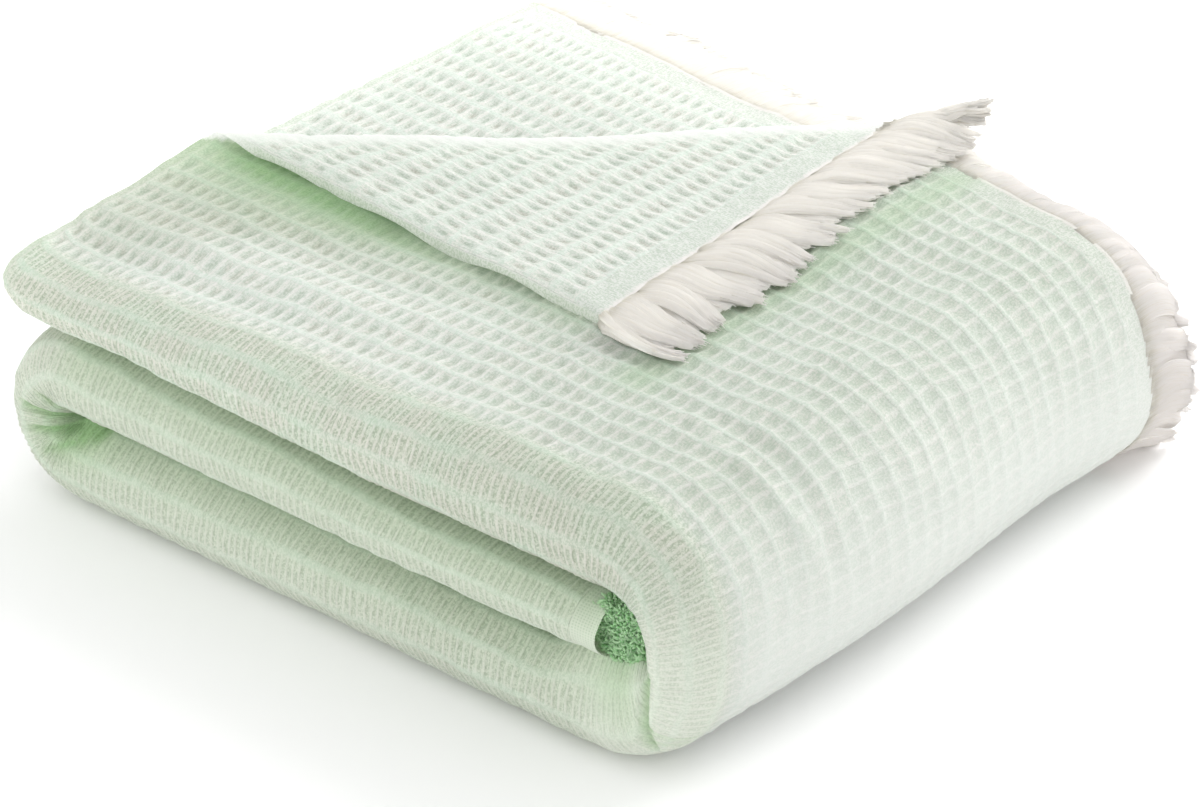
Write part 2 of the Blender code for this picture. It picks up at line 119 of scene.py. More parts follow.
# where the folds start and end across the cloth
FRONT_START = -FRONT_RADIUS
FRONT_END = FRONT_START + math.pi * NOMINAL_HALF
BACK_START = FRONT_END + BACK_FOLD_Y - FRONT_RADIUS
BACK_END = BACK_START + math.pi * NOMINAL_HALF / 3
INNER_START = BACK_END + BACK_FOLD_Y - INNER_FOLD_Y
INNER_END = INNER_START + math.pi * NOMINAL_HALF / 3
SECOND_END = INNER_END + END_Y - INNER_FOLD_Y

# the weave
CELL_S = 0.0083  # from rung to rung, along the strip
CELL_T = 0.0144  # from ridge to ridge, across the strip
SELVEDGE = 0.0055
TUCKED_STRIP = 0.015
END_STRIP = 0.0150
RELIEF = 0.0016
RELIEF_MIDDLE = 0.45
PLAIN_HEIGHT = 0.8
CLOTH_HEIGHT = 0.0006
EVEN_CELLS = 3.0  # cells next to the plain edges that don't stray
LAST_SHOWN_CELL = 120.0  # before the strip tucked in the roll
# how the weave's lines stray along and across the strip, and how its surface swells: height, length, seed
STRAY_S = ((0.0009, 0.075, 3), (0.0004, 0.022, 4))
STRAY_T = ((0.0010, 0.090, 5), (0.0004, 0.025, 6))
SWELLS = ((0.0004, 0.045, 11), (0.0003, 0.018, 12))
RELIEF_CHANGE = ((0.15, 0.013, 9),)
# a pit's half size in cells, what it gains where the weave is open, and its squareness
PIT_S, PIT_T = (0.24, 0.10, 2.4), (0.28, 0.07, 2.6)
STEPS_S = (0.0, 0.14, 0.30, 0.5, 0.70, 0.86)
STEPS_T = (0.0, 0.13, 0.37, 0.63, 0.87)
COARSE_COLUMNS, COARSE_ROWS = 12, 8
ROLL_SHOWN = 0.88  # of the way round
SECOND_SHOWN_U, SECOND_SHOWN_Y = 0.285, 0.145  # the second layer shows to the left of it and behind it
FLOOR_GAP = 0.0002
NOWHERE = -1.0  # the crest depth of cloth that the crest doesn't reach


def ease(value, start=0.0, over=1.0):
    """Ease from 0 to 1 while value goes from start to start plus over."""
    x = np.clip((value - start) / over, 0.0, 1.0)
    return x * x * (3.0 - 2.0 * x)


def bump(value, middle, half_width):
    """A round bump of height 1."""
    return np.exp(-(((value - middle) / half_width) ** 2))


def fade(value, start, over, share=1.0):
    """Ease from 1 down by the share, over the same distance."""
    return 1.0 - share * ease(value, start, over)


def between(value, start, over, stop, fall):
    """Ease from 0 to 1 from start on, and back to 0 from stop on."""
    return ease(value, start, over) * fade(value, stop, fall)


def unit(vectors):
    return vectors / np.maximum(np.linalg.norm(vectors, axis=-1, keepdims=True), 1e-12)


def waves(x, y, length, seed, count=7):
    """Smooth unevenness of about -1 to 1, with features about length long."""
    rng = np.random.default_rng(seed)
    total = np.zeros(np.broadcast(x, y).shape)
    for _ in range(count):
        angle = rng.uniform(0.0, 2 * math.pi)
        scale = 2 * math.pi / (length * rng.uniform(0.7, 1.6))
        total += np.sin((x * math.cos(angle) + y * math.sin(angle)) * scale + rng.uniform(0.0, 6.28))
    return total / math.sqrt(count)


def uneven(x, y, rows):
    """Waves of all the rows, which give height, length and seed."""
    return sum(height * waves(x, y, length, seed) for height, length, seed in rows)


# ---------------- the strip's middle line
def band_points(rows):
    """x, z and half height along one straight band."""
    xs = np.array([row[0] for row in rows])
    along = np.concatenate(([0.0], np.cumsum(np.abs(np.diff(xs)))))
    steps = np.linspace(0.0, along[-1], int(along[-1] / SAMPLE_STEP) + 1)
    return np.stack([np.interp(steps, along, [row[i] for row in rows]) for i in range(3)], axis=1)


def roll_points():
    """The same round the roll at the right."""
    top, bottom = TOP_BAND[-1], BOTTOM_BAND[0]
    middle_z, reach_z = (top[1] + bottom[1]) / 2, (top[1] - bottom[1]) / 2
    power = 2.0 / ROLL_SQUARENESS
    angles = np.linspace(math.pi / 2, -math.pi / 2, 161)[1:-1]
    x = top[0] + ROLL_REACH * np.cos(angles) ** power
    z = middle_z + reach_z * np.sign(np.sin(angles)) * np.abs(np.sin(angles)) ** power
    ends = np.where(angles > 0, top[2], bottom[2])
    half = ROLL_SIDE_HALF + (ends - ROLL_SIDE_HALF) * np.sin(angles) ** 2
    return np.stack([x, z, half], axis=1)


def turn_points():
    """The same round the turn at the left."""
    low, high = BOTTOM_BAND[-1], MIDDLE_BAND[0]
    radius = (high[1] - low[1]) / 2
    angles = np.linspace(-math.pi / 2, -3 * math.pi / 2, 101)[1:-1]
    x = low[0] + radius * np.cos(angles)
    z = low[1] + radius + radius * np.sin(angles)
    ends = np.where(np.sin(angles) < 0, low[2], high[2])
    half = TURN_SIDE_HALF + (ends - TURN_SIDE_HALF) * np.sin(angles) ** 2
    return np.stack([x, z, half], axis=1)


def smoothed(values, window):
    wide = np.concatenate([np.repeat(values[:1], window), values, np.repeat(values[-1:], window)])
    return np.convolve(wide, np.ones(2 * window + 1) / (2 * window + 1), mode="valid")


def path_length(points):
    return float(np.sum(np.linalg.norm(np.diff(points[:, :2], axis=0), axis=1)))


def middle_line():
    """The strip's middle line by its length, and the lengths at which its parts start and end."""
    pieces = (
        band_points(TOP_BAND),
        roll_points(),
        band_points(BOTTOM_BAND),
        turn_points(),
        band_points(MIDDLE_BAND),
    )
    points = np.concatenate(pieces)
    steps = np.linalg.norm(np.diff(points[:, :2], axis=0), axis=1)
    along = np.concatenate(([0.0], np.cumsum(steps)))
    even = np.arange(0.0, along[-1], SAMPLE_STEP)
    x = np.interp(even, along, points[:, 0])
    z = np.interp(even, along, points[:, 1])
    half = smoothed(np.interp(even, along, points[:, 2]), int(SMOOTHING / SAMPLE_STEP))
    heading = np.unwrap(np.arctan2(np.gradient(z), np.gradient(x)))
    heading = smoothed(heading, int(0.5 * SMOOTHING / SAMPLE_STEP))
    half = half - CLOTH_THICKNESS / 2
    turned = np.abs(heading - heading[0])
    outer = even + np.cumsum(half * np.abs(np.gradient(turned)))
    columns = {"along": even, "x": x, "z": z, "half": half, "heading": heading, "outer": outer}
    return columns | {
        "roll_start": TOP_BAND[-1][0],
        "roll_end": TOP_BAND[-1][0] + path_length(roll_points()),
        "turn_start": path_length(np.concatenate(pieces[:3])),
        "turn_end": path_length(np.concatenate(pieces[:4])),
        "length": float(even[-1]),
    }


LINE = middle_line()


def line_at(u, key):
    """A value of the middle line at some length along it."""
    return np.interp(u, LINE["along"], LINE[key])


# ---------------- the four layers and the folded corner
def across(v, half):
    """y, and height over the middle line, of a point of the four layers."""
    small = half / 3
    front = math.pi / 2 - math.pi * (v - FRONT_START) / (FRONT_END - FRONT_START)
    back = math.pi * (v - BACK_START) / (BACK_END - BACK_START)
    inner = math.pi * (v - INNER_START) / (INNER_END - INNER_START)
    where = [v <= at for at in (FRONT_START, FRONT_END, BACK_START, BACK_END, INNER_START, INNER_END)]
    parts = (
        # y and height on each part, from the end on top
        (-v, half),
        (FRONT_RADIUS * (1.0 - np.cos(front)), half * np.sin(front)),
        (FRONT_RADIUS + v - FRONT_END, -half),
        (BACK_FOLD_Y + small * np.sin(back), -half + small * (1.0 - np.cos(back))),
        (BACK_FOLD_Y - (v - BACK_END), -small),
        (INNER_FOLD_Y - small * np.sin(inner), -small + small * (1.0 - np.cos(inner))),
        (INNER_FOLD_Y + v - INNER_END, small),
    )
    y, height = (np.select(where, values[:-1], values[-1]) for values in zip(*parts))
    return y, height


def round_front(v):
    """How far round the front fold a place is: 0 at its top, 1 at its foot."""
    return (v - FRONT_START) / (FRONT_END - FRONT_START)


def outward_move(u, x, y, share):
    """How far a layer moves outward: the roll's swell, the rise of the top, soft waves."""
    turned = (u - LINE["roll_start"]) / (LINE["roll_end"] - LINE["roll_start"])
    on_roll = np.sin(math.pi * np.clip(turned, 0.0, 1.0)) ** 2
    swell = -FRONT_DRAW * np.exp(-y / FRONT_DRAW_LENGTH)
    for row in ROLL_WAVES:
        swell = swell + row[2] * bump(y, row[0], row[1])
    on_top = fade(turned, 0.0, 0.5)
    rise = BACK_RISE * ease(x, *BACK_RISE_X) * ease(y, *BACK_RISE_Y)
    soft = 0.0
    for cycles_x, cycles_y, phase, height in SOFT_WAVES:
        soft = soft + height * np.sin(2 * math.pi * (cycles_x * x + cycles_y * y) + phase)
    left = LEFT_RISE * ease(y, *LEFT_RISE_Y) * fade(x, *LEFT_RISE_X)
    return (swell * on_roll + (rise + soft) * on_top) * share + left * on_top * np.sqrt(share)


def layer_point(u, v):
    """Points of the folded cloth, before the corner is folded over."""
    half = line_at(u, "half")
    heading = line_at(u, "heading")
    y, height = across(v, half)
    share = np.clip((height + half) / (2 * half), 0.0, 1.0)
    x, z = line_at(u, "x"), line_at(u, "z")
    # past the start of the strip, where only the corner's crest reaches
    x = x + np.minimum(u, 0.0)
    height = height + outward_move(u, x, y, share)
    nose = NOSE_DRAW * np.maximum(0.0, 1.0 - u / NOSE_LENGTH) ** 2
    y = y + nose * fade(y, FRONT_RADIUS, 0.06)
    return np.stack([x - np.sin(heading) * height, y, z + np.cos(heading) * height], axis=-1)


# the crest's direction, the way out over it, and how the cloth past it runs back
ALONG = np.subtract(CREST_END, CREST_START) / np.linalg.norm(np.subtract(CREST_END, CREST_START))
OUTWARD = np.array((-ALONG[1], ALONG[0]))
FLAT_CORNER = np.array((0.0, END_Y + TOP_SKEW))
CREST_DEPTH = float((FLAT_CORNER - CREST_START) @ OUTWARD)
CREST_ARC = math.pi * CREST_RADIUS
CREST_BACK = (np.array(CORNER_LIES_AT) - (FLAT_CORNER - OUTWARD * CREST_DEPTH)) / (CREST_DEPTH - CREST_ARC)


def crest_depth(u, v):
    """How far past the crest a point of the top layer is, and negative where it stays down."""
    depth = (u - CREST_START[0]) * OUTWARD[0] + (-v - CREST_START[1]) * OUTWARD[1]
    return np.where((v <= FRONT_START) & (u <= SKEW_LENGTH), depth, NOWHERE)


def place(u, v):
    """Points of the folded cloth's middle surface."""
    depth = crest_depth(u, v)
    over = depth > 0.0
    past = np.maximum(depth, 0.0)
    foot = np.stack([u - OUTWARD[0] * past, -v - OUTWARD[1] * past], axis=-1)
    angle = np.minimum(past / CREST_RADIUS, math.pi)
    beyond = np.maximum(past - CREST_ARC, 0.0)
    share = beyond / (CREST_DEPTH - CREST_ARC)
    # how high the folded corner lies over the layer below it
    lift = CREST_RADIUS * (1.0 - np.cos(angle)) + (CORNER_GAP - 2 * CREST_RADIUS) * share
    lift = lift * (0.50 + 0.50 * ease(foot[..., 0], *CREST_OPENS))
    sag = CREST_SAG * bump(foot[..., 0], *CREST_SAG_X) * ease(past, 0.0, CREST_ARC)
    lift = lift - sag * fade(beyond, 0.0, CREST_SAG_FADE)
    plan = foot + OUTWARD * (CREST_RADIUS * np.sin(angle))[..., None] + CREST_BACK * beyond[..., None]
    points = layer_point(np.where(over, plan[..., 0], u), np.where(over, -plan[..., 1], v))
    # the shoulder where the crest starts, and the rim that hangs over the edge
    shoulder = bump(depth, 0.003, SHOULDER_REACH) * fade(u, 0.0, SHOULDER_LENGTH) * (depth > NOWHERE)
    points += SHOULDER * shoulder[..., None]
    rim = np.clip((RIM_WIDTH - u) / RIM_WIDTH, 0.0, 1.0) * ease(depth, CREST_ARC, RIM_SLOPE)
    drop = RIM_DROP * rim**1.5 * (1.0 + RIM_WAVE * np.sin(plan[..., 0] * RIM_WAVE_TURN + 1.0))
    points[..., 1] += np.where(over, RIM_TUCK * rim**2, 0.0)
    points[..., 2] += np.where(over, lift - drop, 0.0)
    return points


def normal(u, v, step=0.0006):
    """The cloth's normals, from short steps on its middle surface."""
    down = place(u + step, v) - place(u - step, v)
    over = place(u, v + step) - place(u, v - step)
    return unit(np.cross(over, down))


def drawn_in(u):
    """How far both ends of the cloth are drawn in where it goes round the roll."""
    on_roll = ease(u, *DRAW_GROWS) * fade(u, *DRAW_EASES, 0.55)
    return ROLL_END_DRAW * on_roll * fade(u, *DRAW_ENDS)


def left_share(u):
    """How much the cloth's ends run askew: 1 at the strip's start, 0 past SKEW_LENGTH."""
    return np.maximum(0.0, 1.0 - u / SKEW_LENGTH)


def skewed(u, v):
    """Distance across the cloth, stretched where its ends run askew, from the even one."""
    left = left_share(u)
    top = 1.0 + (TOP_SKEW * left**TOP_SKEW_POWER - drawn_in(u)) / (END_Y - FRONT_RADIUS)
    second = 1.0 + (SECOND_SKEW * left - drawn_in(u)) / (END_Y - INNER_FOLD_Y)
    v = np.where(v < FRONT_START, FRONT_START + (v - FRONT_START) * top, v)
    return np.where(v > INNER_END, INNER_END + (v - INNER_END) * second, v)


def side_of(u, v):
    """Which side of the cloth shows: 1 where its normal points out, -1 on the folded corner and inside."""
    flap = 1.0 - 2.0 * ease(crest_depth(u, v), 0.25 * CREST_ARC, 0.5 * CREST_ARC)
    return np.where(v > INNER_START - 0.05, 1.0 - 2.0 * ease(v, INNER_START - 0.05, 0.04), flap)


# ---------------- the waffle
FRONT_CREASES = (
    # x and z of both ends on the front face, half width, depth
    (0.034, 0.0600, 0.0620, 0.0450, 0.0019, 0.0042),
    (0.022, 0.0520, 0.0620, 0.0445, 0.0021, 0.0050),
    (0.026, 0.0400, 0.0620, 0.0435, 0.0019, 0.0046),
    (0.034, 0.0300, 0.0605, 0.0420, 0.0018, 0.0028),
    (0.4195, 0.0600, 0.4175, 0.0200, 0.0019, 0.0046),
    (0.4215, 0.0300, 0.4310, 0.0220, 0.0016, 0.0018),
    (0.4220, 0.0230, 0.4310, 0.0160, 0.0015, 0.0016),
)
SHEET_CREASES = (
    # distance along the strip and across it of both ends, half width, depth (negative for a ridge)
    (0.372, -0.090, 0.404, -0.080, 0.0040, -0.0018),
    (0.404, -0.080, 0.428, -0.084, 0.0042, -0.0022),
    (0.428, -0.084, 0.455, -0.091, 0.0040, -0.0018),
    (0.380, -0.100, 0.440, -0.096, 0.0050, 0.0014),
    (0.010, -0.076, 0.074, -0.073, 0.0130, -0.0018),
    (0.074, -0.073, 0.160, -0.076, 0.0150, -0.0022),
    (0.160, -0.076, 0.240, -0.090, 0.0160, -0.0018),
    (0.030, -0.045, 0.200, -0.050, 0.0110, 0.0012),
    (0.300, -0.060, 0.360, -0.030, 0.0120, 0.0012),
)


def hollow_rise(u, v, y):
    """How far the bottom band swells up at the front, where it meets the roll under the hollow."""
    turned = round_front(v)
    rise = HOLLOW_SWELL * between(u, *HOLLOW_SWELL_U) * ease(turned, 0.40, 0.50)
    return rise * fade(y, *HOLLOW_SWELL_Y)


def crease_depth(first, second, rows):
    """How deep soft creases press in at places given by two coordinates."""
    total = np.zeros(len(first))
    for p0, q0, p1, q1, half_width, depth in rows:
        length = math.hypot(p1 - p0, q1 - q0)
        along = ((first - p0) * (p1 - p0) + (second - q0) * (q1 - q0)) / length
        away = ((first - p0) * (q1 - q0) - (second - q0) * (p1 - p0)) / length
        past = np.maximum(np.maximum(-along, along - length), 0.0)
        total += depth * np.exp(-(away / half_width) ** 2 - (past / (1.6 * half_width)) ** 2)
    return total


def cell_marks(length, first, last, pitch, steps):
    """Distances of the grid's lines, and their place in cells, over one direction of the cloth."""
    count = round((length - first - last) / pitch)
    pitch = (length - first - last) / count
    marks = [np.arange(0.0, first - 1e-6, pitch / len(steps) * 1.4)]
    marks.append(first + pitch * (np.arange(count)[:, None] + np.array(steps)).ravel())
    marks.append(np.linspace(length - last, length, max(3, int(last / pitch * len(steps) / 1.4)) + 1))
    marks = np.concatenate(marks)
    return marks, (marks - first) / pitch, count


def relief(a, b, cells, openness, fold):
    """Height of the cloth over the bottoms of the waffle's pits, from 0 to 1."""
    to_rung = np.abs(a - np.round(a))
    to_ridge = np.abs(b - np.round(b))
    out_s, out_t = (
        (np.abs(0.5 - to) / (size + gain * openness)) ** square
        for to, (size, gain, square) in ((to_rung, PIT_S), (to_ridge, PIT_T))
    )
    pit = np.exp(-out_s - out_t)
    half_pit = (0.5 - 0.5 * np.cos(4 * math.pi * a)) * np.exp(-((np.abs(0.5 - to_ridge) / 0.40) ** 4))
    pit = pit * (1.0 - fold) + 0.55 * half_pit * fold
    inside = (a > -0.01) & (a < cells[0] + 0.01) & (b > -0.01) & (b < cells[1] + 0.01)
    return np.where(inside, 1.0 - pit + 0.25 * bump(to_ridge, 0.0, 0.13), PLAIN_HEIGHT)


def fold_places(v):
    """The front fold, from 0 to 1, where the waffle's rungs stand at half their distance."""
    return between(v, FRONT_START - 0.012, 0.012, FRONT_END, 0.010)


def open_places(u, v):
    """How far the weave is spread open: most round the roll, least on the folded corner."""
    open_share = 0.25 + 0.75 * ease(u, 0.18, 0.22) - 0.35 * ease(v, FRONT_START - 0.03, 0.03)
    return np.where(side_of(u, v) < 0.0, 0.0, np.clip(open_share, 0.0, 1.0))


def blocks(marks, wanted, stride):
    """Lines of the coarse grid: every stride lines, and the wanted ones."""
    lines = set(range(0, len(marks), stride)) | set(wanted) | {0, len(marks) - 1}
    return np.array(sorted(lines))


def cloth_mesh():
    """The cloth as one thin sheet, fine where it shows and coarse where it is folded away."""
    s_total = float(LINE["outer"][-1])
    s, a, cells_a = cell_marks(s_total, SELVEDGE, TUCKED_STRIP, CELL_S, STEPS_S)
    v, b, cells_b = cell_marks(SECOND_END + END_Y, END_STRIP, END_STRIP, CELL_T, STEPS_T)
    v = v - END_Y
    u = np.interp(s, LINE["outer"], LINE["along"])

    roll_low = LINE["roll_start"] + ROLL_SHOWN * (LINE["roll_end"] - LINE["roll_start"])
    roll_low, under_left = (int(at) for at in np.searchsorted(u, (roll_low, SECOND_SHOWN_U)))
    folds = (FRONT_START - 0.010, FRONT_END + 0.006, INNER_END + SECOND_SHOWN_Y - INNER_FOLD_Y)
    fold_low, fold_high, under_row = (int(at) for at in np.searchsorted(v, folds))
    fine = np.zeros((len(s) - 1, len(v) - 1), bool)
    fine[:roll_low, :fold_high] = True
    fine[:, fold_low:fold_high] = True
    fine[:under_left, under_row:] = True
    cols = blocks(s, [roll_low, under_left], COARSE_COLUMNS)
    bends = []
    for first, last in ((BACK_START, BACK_END), (INNER_START, INNER_END)):
        bends += [i for i in range(len(v)) if first - 0.004 < v[i] < last + 0.004]
    rows = blocks(v, [fold_low, fold_high, under_row] + bends, COARSE_ROWS)

    used = np.zeros((len(s), len(v)), bool)
    for di, dj in ((0, 0), (0, 1), (1, 0), (1, 1)):
        used[di : len(s) - 1 + di, dj : len(v) - 1 + dj] |= fine
    used[np.ix_(cols, rows)] = True
    number = np.full(used.shape, -1)
    number[used] = np.arange(used.sum())
    i, j = np.nonzero(fine)
    faces = np.stack([number[i, j], number[i, j + 1], number[i + 1, j + 1], number[i + 1, j]], axis=1).tolist()
    for i0, i1 in zip(cols[:-1], cols[1:]):
        for j0, j1 in zip(rows[:-1], rows[1:]):
            if fine[i0, j0]:
                continue
            ring = np.concatenate(
                [number[i0, j0:j1], number[i0:i1, j1], number[i1, j1:j0:-1], number[i1:i0:-1, j0]]
            )
            faces.append(ring[ring >= 0].tolist())
    i, j = np.nonzero(used)
    return s[i], u[i], v[j], a[i], b[j], faces, (cells_a, cells_b)


def open_top(u, v):
    """Where the top layer lies open, up to the roll."""
    return (v < FRONT_START) & (crest_depth(u, v) <= 0.0) & (u < LINE["roll_start"])


def before_corner(x, y):
    """How far in front of the folded corner's edge a place on the top is."""
    edge = CREST_START[1] + (CORNER_LIES_AT[1] - CREST_START[1]) * x / CORNER_LIES_AT[0]
    return np.maximum(edge - y, 0.0)


def deep_shade_places(u, v, bare):
    """Where painted shade darkens and greens the cloth, between folds and by the folded corner: from 0 to 1."""
    x, y, z = bare.T
    turned = round_front(v)
    in_front = (turned > -0.6) & (turned < 1.6)
    # painted shadows between the front bands, on their inner sides and on the middle band's outer side
    inner = 0.04 + 0.30 * ease(u, 0.43, 0.05) - 0.28 * ease(u, LINE["turn_start"] + 0.030, 0.045)
    outer = ease(u, LINE["turn_end"] - 0.010, 0.020)
    total = in_front * inner * np.exp(-((np.minimum(turned - 0.98, 0.0) / 0.38) ** 2))
    total += in_front * 0.35 * outer * np.exp(-((np.maximum(turned - 0.04, 0.0) / 0.40) ** 2))
    total += 0.02 * (ease(u, 0.50, 0.05) * in_front)
    # painted shade below the hollow of the roll, and in the pinch of the left turn
    under_hollow = between(x, 0.375, 0.025, 0.414, 0.006) * ease(z, 0.012, 0.03)
    total += 0.28 * ease(u, 0.485, 0.02) * in_front * (u < LINE["turn_start"]) * under_hollow
    total += 0.52 * bump(u, 0.874, 0.028) * bump(turned, 0.80, 0.24)
    # on the top: painted shadow in front of the folded corner's edge, and beside its fringe
    on_top = open_top(u, v)
    away = before_corner(x, y)
    near_edge = 0.54 * np.exp(-away / 0.012) * ease(x, -0.010, 0.05) * fade(x, 0.09, 0.13, 0.55)
    reach = 0.078 - 0.054 * ease(x, 0.055, 0.12)
    wide = (0.48 - 0.20 * ease(x, 0.08, 0.16)) * fade(away, -0.012, reach)
    total += on_top * (near_edge + wide) * fade(x, 0.265, 0.03)
    beside_fringe = bump(x, 0.327, 0.015) * ease(y, 0.080, 0.03) * fade(y, 0.35, 0.03)
    total += 0.42 * on_top * beside_fringe
    return np.clip(total, 0.0, 1.0)


def shade_places(u, v, bare):
    """Where the folded corner keeps the light off the cloth: from 0 to 1."""
    x, y, _ = bare.T
    away = before_corner(x, y)
    reach = 0.050 + 0.085 * fade(x, 0.02, 0.10) - 0.020 * ease(x, 0.13, 0.10)
    shade = fade(away, 0.45 * reach, 0.75 * reach) * fade(x, 0.06, 0.20, 0.75)
    return shade * open_top(u, v) * fade(x, 0.265, 0.03)


def smooth_places(u, v):
    """Where the weave is drawn smooth, with a painted highlight: on the crest's rounded back, and low on the roll.
    """
    depth = crest_depth(u, v)
    crest = between(depth, -0.001, 0.006, CREST_ARC + 0.001, 0.016) * (depth > NOWHERE)
    low = between(u, 0.388, 0.085, 0.52, 0.02) * fade(v, FRONT_START - 0.030, 0.025, 0.42)
    return np.maximum(crest, 0.85 * low)


def add_object(name, data):
    """A new object in the scene."""
    thing = bpy.data.objects.new(name, data)
    bpy.context.scene.collection.objects.link(thing)
    return thing


def mesh_object(name, points, faces, marks, material):
    """A smooth mesh, with its marks as vectors on its points, each given by three columns."""
    mesh = bpy.data.meshes.new(name)
    mesh.from_pydata((points + SHIFT).tolist(), [], faces)
    mesh.update()
    mesh.polygons.foreach_set("use_smooth", np.ones(len(faces), bool))
    for key, columns in marks.items():
        values = np.stack(columns, axis=1).astype(np.float32)
        mesh.attributes.new(key, "FLOAT_VECTOR", "POINT").data.foreach_set("vector", values.ravel())
    mesh.materials.append(material)
    return add_object(name, mesh)


def build_cloth(material):
    """The whole cloth with its relief, and the marks that its material reads."""
    s, even_u, even_v, a, b, faces, cells = cloth_mesh()
    stray_u, stray_v = (
        between(at, 0.0, EVEN_CELLS, count - EVEN_CELLS, EVEN_CELLS) for at, count in zip((a, b), cells)
    )
    u = np.clip(even_u + uneven(s, even_v, STRAY_S) * stray_u, 0.0, LINE["length"])
    v = skewed(u, even_v + uneven(s, even_v, STRAY_T) * stray_v)
    bare = place(u, v)
    side = side_of(u, v)
    fold = fold_places(v)
    openness = open_places(u, v)
    smooth = smooth_places(u, v)
    deep_shade = deep_shade_places(u, v, bare)
    # creases, on the front face and on the outside of the top and the roll
    on_front = fade(bare[:, 1], 0.016, 0.012) * (v > FRONT_START - 0.01) * (v < FRONT_END + 0.02)
    pressed_in = crease_depth(bare[:, 0], bare[:, 2], FRONT_CREASES) * on_front
    on_outside = (side > 0.0) & (crest_depth(u, v) <= 0.0) & (v < FRONT_START)
    pressed_down = crease_depth(u, v, SHEET_CREASES) * on_outside
    # the waffle's relief, flatter where the cloth is drawn smooth or where deep shade is painted
    height = relief(a, b, cells, openness, fold) * (1.0 + uneven(s, even_v, RELIEF_CHANGE))
    lift = RELIEF * (height - RELIEF_MIDDLE) + CLOTH_HEIGHT
    lift += uneven(s, even_v, SWELLS) * (1.0 - 0.7 * fold) - pressed_down
    lift = lift * (1.0 - 0.75 * smooth) * (1.0 - 0.45 * ease(deep_shade, 0.15, 0.45) * (1.0 - fold))
    points = bare + normal(u, v) * (side * lift)[:, None]
    points[:, 1] += pressed_in
    points[:, 2] += hollow_rise(u, v, bare[:, 1])
    points[:, 2] = np.maximum(points[:, 2], FLOOR_GAP)
    plain = np.maximum.reduce([-a, a - cells[0], -b, b - cells[1]])
    # painted light: the front fold paler low down, from the roll on
    low_painted_light = fold * ease(u, 0.400, 0.080) * (1.0 - 0.40 * bump(u, 0.610, 0.070))
    marks = {
        "weave": (a, b, plain),
        # the weave drawn smooth with its painted highlight, the folded corner's painted shadow, painted light low on
        # the fold
        "smooth_and_painted_light": (smooth, shade_places(u, v, bare), low_painted_light),
        # painted deep shade, darker still in the pressed-in creases, then the fold and the open weave
        "deep_shade_fold_open": (np.clip(deep_shade + pressed_in * 130.0, 0.0, 1.0), fold, openness),
    }
    return mesh_object("cloth", points, faces, marks, material)


# ---------------- the fringes
LOCK_LENGTH = 0.050
LOCK_TILT = math.radians(8.0)
LOCK_SIDES = 12
LOCK_RINGS = 12
LOCK_T = np.linspace(0.0, 1.0, LOCK_RINGS)
LOCK_WIDTHS = (0.0045, 0.0080)
LOCK_BEND, LOCK_CURL = 0.003, 0.10
LOCK_FURROWS, MASS_FURROWS = 0.10, 0.06
ROOT_DEPTH = 0.0022  # how far the locks start inside the cloth
END_MARGIN = 0.0003
TOP_DROOP, SECOND_DROOP = 0.017, 0.012
YARNS_A_LOCK = 11
YARN_RADIUS = 0.00032
YARN_RINGS = 5
YARN_PAST = (-0.0015, 0.0022)
YARN_STRAY = 0.0011
REST_HEIGHT = 0.0022
FLOOR_LEVEL = 0.00005
FLAP_END = 0.277
ROOT_ANGLE, TIP_ANGLE, RISE = 2, 3, 7  # columns of FLAP_LOCKS
FLAP_PARTS = (-0.80, -0.40, 0.0, 0.40, 0.80)
FLAP_LOCKS = (
    # place on the flap's end, half width, plan angle at the root and at the tip, wave, length, puff, rise
    (0.014, 0.026, -38, 28, 0, 0.054, 0.001, 0.000),
    (0.065, 0.042, -12, 8, -8, 0.050, 0.003, 0.000),
    (0.130, 0.042, 2, -4, 10, 0.047, 0.004, 0.000),
    (0.200, 0.042, 12, 12, -16, 0.050, 0.003, 0.000),
    (0.272, 0.044, 20, 18, 16, 0.052, 0.004, 0.000),
    (0.345, 0.044, 30, 8, 8, 0.047, 0.005, 0.000),
    (0.418, 0.044, 36, 26, -8, 0.048, 0.002, 0.000),
    (0.490, 0.042, 42, 42, 8, 0.050, 0.004, 0.000),
    (0.560, 0.042, 42, 48, -8, 0.049, 0.002, 0.000),
    (0.630, 0.042, 38, 56, 10, 0.050, 0.004, 0.000),
    (0.700, 0.042, 44, 38, 6, 0.049, 0.004, 0.000),
    (0.770, 0.042, 40, 38, 8, 0.050, 0.003, 0.000),
    (0.840, 0.042, 36, 26, -8, 0.049, 0.005, 0.000),
    (0.905, 0.036, 36, 14, 10, 0.050, 0.006, 0.001),
    (0.955, 0.030, 42, 34, 10, 0.048, 0.005, 0.005),
    (0.990, 0.018, 54, 50, 8, 0.043, 0.004, 0.012),
)


def top_end(u):
    """Where the end on top lies across the cloth."""
    skew = TOP_SKEW * left_share(u) ** TOP_SKEW_POWER
    return -(END_Y + skew - drawn_in(u))


def second_end(u):
    """Where the end below it lies."""
    skew = SECOND_SKEW * left_share(u)
    return INNER_END - INNER_FOLD_Y + END_Y + skew - drawn_in(u)


